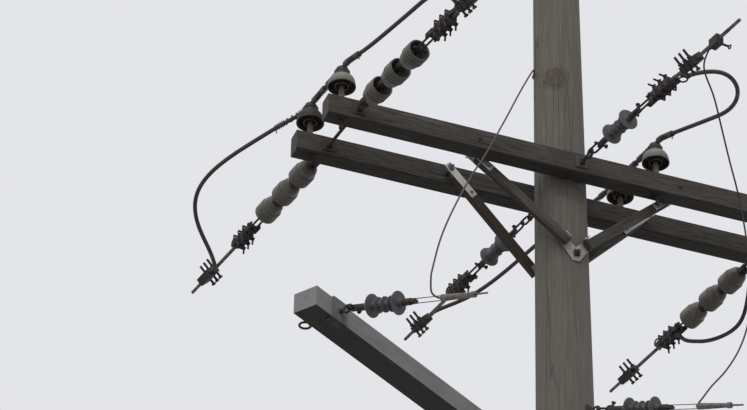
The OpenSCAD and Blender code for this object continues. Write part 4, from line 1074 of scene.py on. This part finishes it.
class UTILITYPOLE_OT_insulators(bpy.types.Operator):
    """Gives the insulators their glaze and silicone, with painted shade and a painted highlight,
    and the porcelain its finer shape
    """
    bl_idname = "utilitypole.insulators"
    bl_label = "Insulators"

    # A bell's radii and distances from its clevis pin, in millimetres: its dome, each of its
    # ribs, and its rim with the way back in to the bore
    DOME = [(0, 34), (25, 34), (32, 38), (39, 46), (43.5, 56), (46, 66), (47.5, 76), (47.5, 84)]
    RIB = [(47, 0), (50.5, 1.5), (53, 4.5), (54, 8.5), (53.4, 11), (51, 12.5), (47, 14)]
    RIB_STARTS = (86, 102, 118, 134)
    BORE = 8.8
    RIM = [(49.5, 149.5), (52, 151), (52.6, 153.5), (51, 155), (47.5, 154.5), (45.5, 149),
           (43, 130), (38, 104), (30, 90), (22, 84), (BORE, 84), (BORE, 60), (0, 60)]
    # A bell's top below its clevis pin, in metres
    BELL_TOP = 0.034
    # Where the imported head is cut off, in metres above the insulator's foot
    CUT = 0.0755
    # The body's radii and heights in millimetres, from under the head round the rim to the bore
    PROFILE = [(0, 76), (20.9, 76), (21, 72), (27, 69), (32, 64), (33, 58), (31, 52), (32, 46),
               (37, 42), (46, 38), (53, 31), (58, 22), (61.5, 10), (63.5, -3), (65, -13),
               (64.6, -17), (63, -18.5), (61, -17), (59, -10), (56, 4), (50, 18), (42, 26),
               (36, 25), (34, 12), (33, -12), (31.5, -16), (29, -17.5), (26.5, -16), (25, -10),
               (24.5, 20), (24, 42), (12.6, 42), (12.4, 66.5), (0, 66.5)]
    # Below this height a face within this radius, or turned to the axis, is inside, in metres
    INSIDE_TOP, INSIDE_R = 0.060, 0.036
    # The size of the spot that turns one insulator brown
    BROWN = (0.22, 0.22, 0.22)

    def execute(self, context):
        colours = context.scene.pole_finish
        for name in NODES:
            if name.endswith("_bells"):
                self.bells(name, colours)
        darkest = min((middle_of(part) for part in solids("pin_insulators")),
                      key=lambda p: p.x - p.y)
        outside = pin_porcelain(colours, [(tuple(darkest), self.BROWN)])
        dress("pin_insulators", outside)
        self.pin_shells(outside, pin_hollow(colours))
        dress_slot("polymer_sheds", polymer(colours))
        return {"FINISHED"}

    def bells(self, name, colours):
        """A string of three bells with ribs under them."""
        way = Vector(MOUNTS[name.replace("_bells", "_line")]["axis"]).normalized()
        points = node_points(name)
        first = min(points, key=lambda p: p @ way)
        start = middle_of(points) + way * ((first - middle_of(points)) @ way - self.BELL_TOP)
        glaze = porcelain(name, start, way, colours)
        dress(name, glaze)
        ribs = [(r, at + x) for at in self.RIB_STARTS for r, x in self.RIB]
        shape = bmesh.new()
        for k in range(3):
            lathe(shape, start + way * (k * BELL_PITCH), way, self.DOME + ribs + self.RIM)
        piece = add_piece(name.replace("bells", "ribbed_bells"), shape, glaze)
        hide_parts(name)

    def pin_shells(self, outside, inside):
        """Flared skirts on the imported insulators' heads, with a sleeve round each pin."""
        shape = bmesh.new()
        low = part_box("pin_insulators")[0].z
        feet = [middle_of(points).xy.to_3d() + UP * low for points in solids("pin_insulators")]
        for foot in feet:
            lathe(shape, foot, UP, self.PROFILE)
        part = node_shape("pin_insulators")
        bmesh.ops.bisect_plane(part, geom=part.verts[:] + part.edges[:] + part.faces[:],
                               plane_co=(0, 0, low + self.CUT), plane_no=(0, 0, 1),
                               clear_inner=True)
        bmesh.ops.holes_fill(part, edges=[e for e in part.edges if e.is_boundary])
        merge(shape, part)
        piece = add_piece("insulator_shells", shape, outside)
        piece.data.materials.append(inside)
        for face in piece.data.polygons:
            out = min((face.center - foot for foot in feet), key=lambda p: p.xy.length)
            turned_in = out.xy.length < self.INSIDE_R or face.normal.xy @ out.xy < 0
            if out.z < self.INSIDE_TOP and turned_in:
                face.material_index = 1
        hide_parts("pin_insulators")


class UTILITYPOLE_OT_lower_arm(bpy.types.Operator):
    """Gives the lower arm its weathered fibreglass, with painted shade on its underside"""
    bl_idname = "utilitypole.lower_arm"
    bl_label = "Dead-end arm"

    def execute(self, context):
        way = long_axis(node_points("dead_end_arm"))
        dress_slot("fibreglass", fibreglass(way, context.scene.pole_finish))
        return {"FINISHED"}


class UTILITYPOLE_OT_conductors(bpy.types.Operator):
    """Winds armour rods round the line ends, and strands the bare ones"""
    bl_idname = "utilitypole.conductors"
    bl_label = "Line ends"

    # The bare end has more strands than there are rods, with a shorter lay
    MORE_STRANDS, SHORTER_LAY = 2, 0.8
    # How far the rods' ends keep inside the core's
    INSET = 0.0016

    def execute(self, context):
        metal = strand_metal(context.scene.pole_finish)
        dress_slot("conductor_aluminium", metal)
        shape = bmesh.new()
        for part in solids("conductor_ends"):
            self.wind(shape, part, context.scene.pole_detail)
        piece = add_piece("armour_rods", shape, metal)
        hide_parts("conductor_ends")
        return {"FINISHED"}

    def wind(self, shape, part, detail):
        """Rods on the wrapped length, and finer strands on the bare one."""
        centre, way, dims = line_near(middle_of(part))
        along = [(p - centre) @ way for p in part]
        wrapped_r = max(((p - centre) - way * ((p - centre) @ way)).length for p in part)
        start, end = centre + way * min(along), centre + way * max(along)
        step = centre - way * (dims["length_mm"] / 2000)
        self.bundle(shape, start, step, wrapped_r, detail.strand_count, detail.lay_length)
        self.bundle(shape, step, end, dims["r_mm"] / 1000,
                    detail.strand_count + self.MORE_STRANDS, detail.lay_length * self.SHORTER_LAY)

    def bundle(self, shape, start, end, radius, count, lay):
        """Round rods laid side by side in a long helix, round a plain core."""
        way = end - start
        rod_r = radius * math.sin(math.pi / count) / (1 + math.sin(math.pi / count))
        rod(shape, start, end, radius - rod_r, 16)
        ahead = way.normalized() * self.INSET
        for k in range(count):
            helix(shape, start + ahead, way, radius - rod_r, rod_r, lay,
                  (way - ahead * 2).length / lay, steps=16, sides=6, phase=math.tau * k / count)


class UTILITYPOLE_OT_jumpers(bpy.types.Operator):
    """Gives the jumpers a smooth covering, and ties them to the pin insulators"""
    bl_idname = "utilitypole.jumpers"
    bl_label = "Jumpers and ties"

    # A packed cord's sides; how flat its end cap is, as a cosine; and how round, as a ratio
    SIDES, FLAT, ROUND = 8, 0.9999, 1.15
    # Rounds of easing, the distance from an insulator that is held still, and how far past it
    # the easing takes to come in
    EASING, HELD, FADE = 3, 0.17, 0.08
    # Points added in each step of the route, and the tube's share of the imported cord's radius
    DENSER, TUBE_SHARE = 3, 0.985
    # How far the thin cords' corners move out
    SWELL = 0.00035
    # Round an insulator: the route that is looked at, what sets its direction and its radius,
    # and the gap along it that starts a new ring of corners
    ROUTE_R, WAY_R, CORD_R, RING_GAP = 0.26, 0.048, 0.05, 0.007
    # The neck's depth below the insulator's top, its radius, and where the coils start
    NECK_DROP, NECK_R, COIL_START = 0.0195, 0.021, 0.031
    # Coils: a turn's steps, its pitch in wire diameters, how much looser the loose turns in the
    # middle are, and how many they are
    TURN_STEPS, PITCH, LOOSE_PITCH, LOOSE_TURNS = 12, 1.08, 2.8, 3
    # The wire's free end: up from the cord, ahead along it, and on
    TAIL_UP, TAIL_AHEAD, TAIL_ON = 0.010, 0.004, 0.008
    # Turns round the neck: how high and how far out, in wire diameters
    NECK_TURNS = [(0.4, 0.0), (-0.64, 0.5), (-1.7, 1.4), (-0.3, 1.0), (-1.2, 2.0), (0.7, 0.9)]

    def execute(self, context):
        colours = context.scene.pole_finish
        skin = covering(colours)
        wire = soft_wire(colours)
        for name in NODES:
            if SLOTS[name] == "jumper_covering":
                dress(name, skin)
                (self.smooth_copy if name == "tap_jumpers" else self.smooth_cord)(name, skin)
        for number, part in enumerate(solids("pin_insulators")):
            self.tie(number + 1, part, wire, context.scene.pole_detail)
        return {"FINISHED"}

    def smooth_cord(self, name, skin):
        """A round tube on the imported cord's centre line, with the line's corners eased."""
        shape = node_shape(name)
        rings = self.cord_rings(shape)
        if any(len(r) != self.SIDES for r in rings):
            raise RuntimeError(f"{name} is not a tube of {self.SIDES} sides")
        centres = [mean_of([v.co for v in r]) for r in rings]
        radius = max((v.co - c).length for c, r in zip(centres, rings) for v in r)
        shape.free()
        line = self.eased(centres)
        dense = []
        for k in range(len(line) - 1):
            before, after = line[max(k - 1, 0)], line[min(k + 2, len(line) - 1)]
            dense += [self.between(before, line[k], line[k + 1], after, t / self.DENSER)
                      for t in range(self.DENSER)]
        dense.append(line[-1])
        piece = tube_along(name + "_covering", dense, radius * self.TUBE_SHARE, skin,
                           6)
        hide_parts(name)

    def between(self, a, b, c, d, t):
        """A point from b to c on a smooth curve through four points."""
        return (b * 2 + (c - a) * t + (a * 2 - b * 5 + c * 4 - d) * t * t
                + (b * 3 - a - c * 3 + d) * t ** 3) / 2

    def smooth_copy(self, name, skin):
        """The same thin cords, rounded: their corners move out by what subdivision takes in."""
        shape = node_shape(name)
        bmesh.ops.recalc_face_normals(shape, faces=shape.faces)
        bmesh.ops.join_triangles(shape, faces=shape.faces, angle_face_threshold=3.0,
                                 angle_shape_threshold=3.0)
        shape.normal_update()
        for corner in shape.verts:
            corner.co += corner.normal * self.SWELL
        piece = add_piece(name + "_covering", shape, skin)
        round_off = piece.modifiers.new("round", "SUBSURF")
        round_off.levels = round_off.render_levels = 1
        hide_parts(name)

    def cord_rings(self, shape):
        """The rings of corners round a tube, from one end cap to the other."""
        for face in shape.faces:
            cap, edge = {face}, [face]
            while edge:
                for side in edge.pop().edges:
                    for other in side.link_faces:
                        if other not in cap and other.normal @ face.normal > self.FLAT:
                            cap.add(other)
                            edge.append(other)
            corners = {v for f in cap for v in f.verts}
            middle = mean_of([v.co for v in in_order(corners)])
            away = [(v.co - middle).length for v in corners]
            if len(corners) == self.SIDES and max(away) < min(away) * self.ROUND:
                break
        else:
            raise RuntimeError("no end cap was found")
        rings, done = [corners], set(corners)
        while rings[-1]:
            ahead = {e.other_vert(v) for v in rings[-1] for e in v.link_edges} - done
            done |= ahead
            rings.append(ahead)
        return [in_order(r) for r in rings if r]

    def eased(self, was):
        """Rounds a route's corners away from its ends and its insulators."""
        held = [middle_of(part) for part in solids("pin_insulators")]
        free = []
        for p in was:
            away = min(min((p.xy - h.xy).length for h in held), (p - was[0]).length,
                       (p - was[-1]).length)
            free.append(min(1.0, max(0.0, (away - self.HELD) / self.FADE)))
        now = list(was)
        for _ in range(self.EASING):
            now = [p if not 0 < k < len(now) - 1
                   else p.lerp((now[k - 1] + now[k + 1]) / 2, 0.5 * free[k])
                   for k, p in enumerate(now)]
        return now

    def cord_line(self, centre, low):
        """A jumper's direction, centre line and radius near a pin insulator, the line as
        distances from the insulator and points."""
        near = []
        for name in ("left_jumper", "centre_jumper", "right_jumper"):
            shape = node_shape(name)
            near += [v.co.copy() for v in shape.verts
                     if (v.co.xy - centre.xy).length < self.ROUTE_R and v.co.z > low]
            shape.free()
        close = [p for p in near if (p.xy - centre.xy).length < self.WAY_R]
        if not close:
            raise RuntimeError("no jumper lies on this insulator")
        way = long_axis(close)
        way = Vector((way.x, way.y, 0)).normalized()
        near.sort(key=lambda p: (p - centre) @ way)
        rings, last = [], None
        for p in near:
            along = (p - centre) @ way
            if last is None or along - last > self.RING_GAP:
                rings.append([])
            rings[-1].append(p)
            last = along
        middles = [mean_of(r) for r in rings if len(r) >= self.SIDES - 2]
        radius = max((p - mean_of(r)).length for r in rings if len(r) == self.SIDES for p in r
                     if (p.xy - centre.xy).length < self.CORD_R)
        return way, [((m - centre) @ way, m) for m in middles], radius

    def on_line(self, line, along):
        """The place and the direction of a centre line at a distance from its insulator."""
        for (a, p), (b, q) in zip(line, line[1:]):
            if along <= b:
                break
        t = (along - a) / (b - a)
        return p.lerp(q, t), (q - p).normalized()

    def coil(self, line, end, cord_r, detail):
        """Wire wound on the jumper, from an insulator to its free end."""
        tight = detail.tie_wire_d * self.PITCH
        loose = detail.tie_wire_d * self.PITCH * self.LOOSE_PITCH
        from_step = detail.tie_turns * self.TURN_STEPS
        to_step = (detail.tie_turns + self.LOOSE_TURNS) * self.TURN_STEPS
        points, along = [], self.COIL_START
        for k in range(from_step + to_step + 1):
            spot, ahead = self.on_line(line, end * along)
            out = UP.cross(ahead).normalized()
            angle = math.tau * k / self.TURN_STEPS
            turned = out * math.sin(angle) - ahead.cross(out) * math.cos(angle)
            points.append(spot + turned * (cord_r + detail.tie_wire_d / 2))
            along += (loose if from_step < k < to_step else tight) / self.TURN_STEPS
        points.append(points[-1] + turned * self.TAIL_UP + ahead * end * self.TAIL_AHEAD)
        points.append(points[-1] + turned * self.TAIL_ON)
        return points

    def tie(self, number, part, wire, detail):
        """Wire that is wound on the jumper, round the insulator's neck and on the jumper again."""
        centre = middle_of(part)
        way, line, cord_r = self.cord_line(centre, min(p.z for p in part))
        r = detail.tie_wire_d / 2
        neck = Vector((centre.x, centre.y, max(p.z for p in part) - self.NECK_DROP))
        neck_r = self.NECK_R + r
        cross = UP.cross(way)
        before, after = (self.coil(line, end, cord_r, detail) for end in (-1, 1))
        half_turn = [neck + (way * math.cos(a) + cross * math.sin(a)) * neck_r
                     for a in (math.pi * k / 12 for k in range(12, -1, -1))]
        tube_along(f"tie_wire_{number}", before[::-1] + half_turn + after, r, wire)
        back = bmesh.new()
        for rise, out in self.NECK_TURNS:
            ring(back, neck + UP * rise * detail.tie_wire_d, UP,
                 neck_r + out * detail.tie_wire_d, r)
        add_piece(f"neck_tie_{number}", back, wire)


class UTILITYPOLE_OT_threads(bpy.types.Operator):
    """Cuts threads on the ends of the bolts and pins"""
    bl_idname = "utilitypole.threads"
    bl_label = "Bolt threads"

    # Lengths of thread on a pin and on a U-bolt's leg
    PIN_THREAD, LEG_THREAD = 0.024, 0.022
    # Corners this near to the end of a pin or a leg are its tip's
    PIN_TIP, LEG_TIP = 0.001, 0.0005

    def execute(self, context):
        shape = bmesh.new()
        self.pin_threads(shape, context.scene.pole_detail)
        self.clamp_threads(shape, context.scene.pole_detail)
        add_iron("bolt_threads", shape)
        return {"FINISHED"}

    def pin_threads(self, shape, detail):
        """Below the nuts of the insulator pins."""
        for part in solids("insulator_pins"):
            low = min(p.z for p in part)
            tip = [p for p in part if p.z < low + self.PIN_TIP]
            thread(shape, tip, middle_of(tip), UP, self.PIN_THREAD, detail)

    def clamp_threads(self, shape, detail):
        """On the U-bolts' legs, past their nuts."""
        for part in solids("clamp_bolts"):
            centre = middle_of(part)
            line = line_near(centre)[1]
            leg = long_axis([p - line * ((p - centre) @ line) for p in part])
            way = leg.cross(line)
            reach = [(p - centre) @ leg for p in part]
            tips = max(([p for p in part if abs((p - centre) @ leg - end) < self.LEG_TIP]
                        for end in (max(reach), min(reach))),
                       key=lambda points: min(abs((p - centre) @ way) for p in points))
            for hand in (-1, 1):
                tip = [p for p in tips if ((p - centre) @ way) * hand > 0]
                if len(tip) >= 4:
                    inward = leg * (-1 if (mean_of(tip) - centre) @ leg > 0 else 1)
                    thread(shape, tip, mean_of(tip), inward, self.LEG_THREAD, detail)


class UTILITYPOLE_PT_panel(bpy.types.Panel):
    """Lists the steps that dress the pole"""
    bl_label = "Utility Pole"
    bl_idname = "UTILITYPOLE_PT_panel"
    bl_space_type = "VIEW_3D"
    bl_region_type = "UI"
    bl_category = "Utility Pole"

    def draw(self, context):
        for step in STEPS:
            self.layout.operator(step.bl_idname)
        for group in ("pole_stage", "pole_finish", "pole_detail"):
            box = self.layout.box()
            settings = getattr(context.scene, group)
            for name in settings.bl_rna.properties.keys():
                if name not in {"rna_type", "name"}:
                    box.prop(settings, name)


STEPS = [UTILITYPOLE_OT_stage, UTILITYPOLE_OT_steelwork, UTILITYPOLE_OT_pole,
         UTILITYPOLE_OT_timber, UTILITYPOLE_OT_straps, UTILITYPOLE_OT_insulators,
         UTILITYPOLE_OT_lower_arm, UTILITYPOLE_OT_conductors, UTILITYPOLE_OT_jumpers,
         UTILITYPOLE_OT_threads]
CLASSES = [StageSettings, FinishSettings, DetailSettings, *STEPS, UTILITYPOLE_PT_panel]


def register():
    for kind in CLASSES:
        bpy.utils.register_class(kind)
    bpy.types.Scene.pole_stage = PointerProperty(type=StageSettings)
    bpy.types.Scene.pole_finish = PointerProperty(type=FinishSettings)
    bpy.types.Scene.pole_detail = PointerProperty(type=DetailSettings)


def unregister():
    del bpy.types.Scene.pole_detail
    del bpy.types.Scene.pole_finish
    del bpy.types.Scene.pole_stage
    for kind in reversed(CLASSES):
        bpy.utils.unregister_class(kind)


def main():
    register()
    for step in STEPS:
        group, name = step.bl_idname.split(".")
        getattr(getattr(bpy.ops, group), name)()


if __name__ == "__main__":
    main()
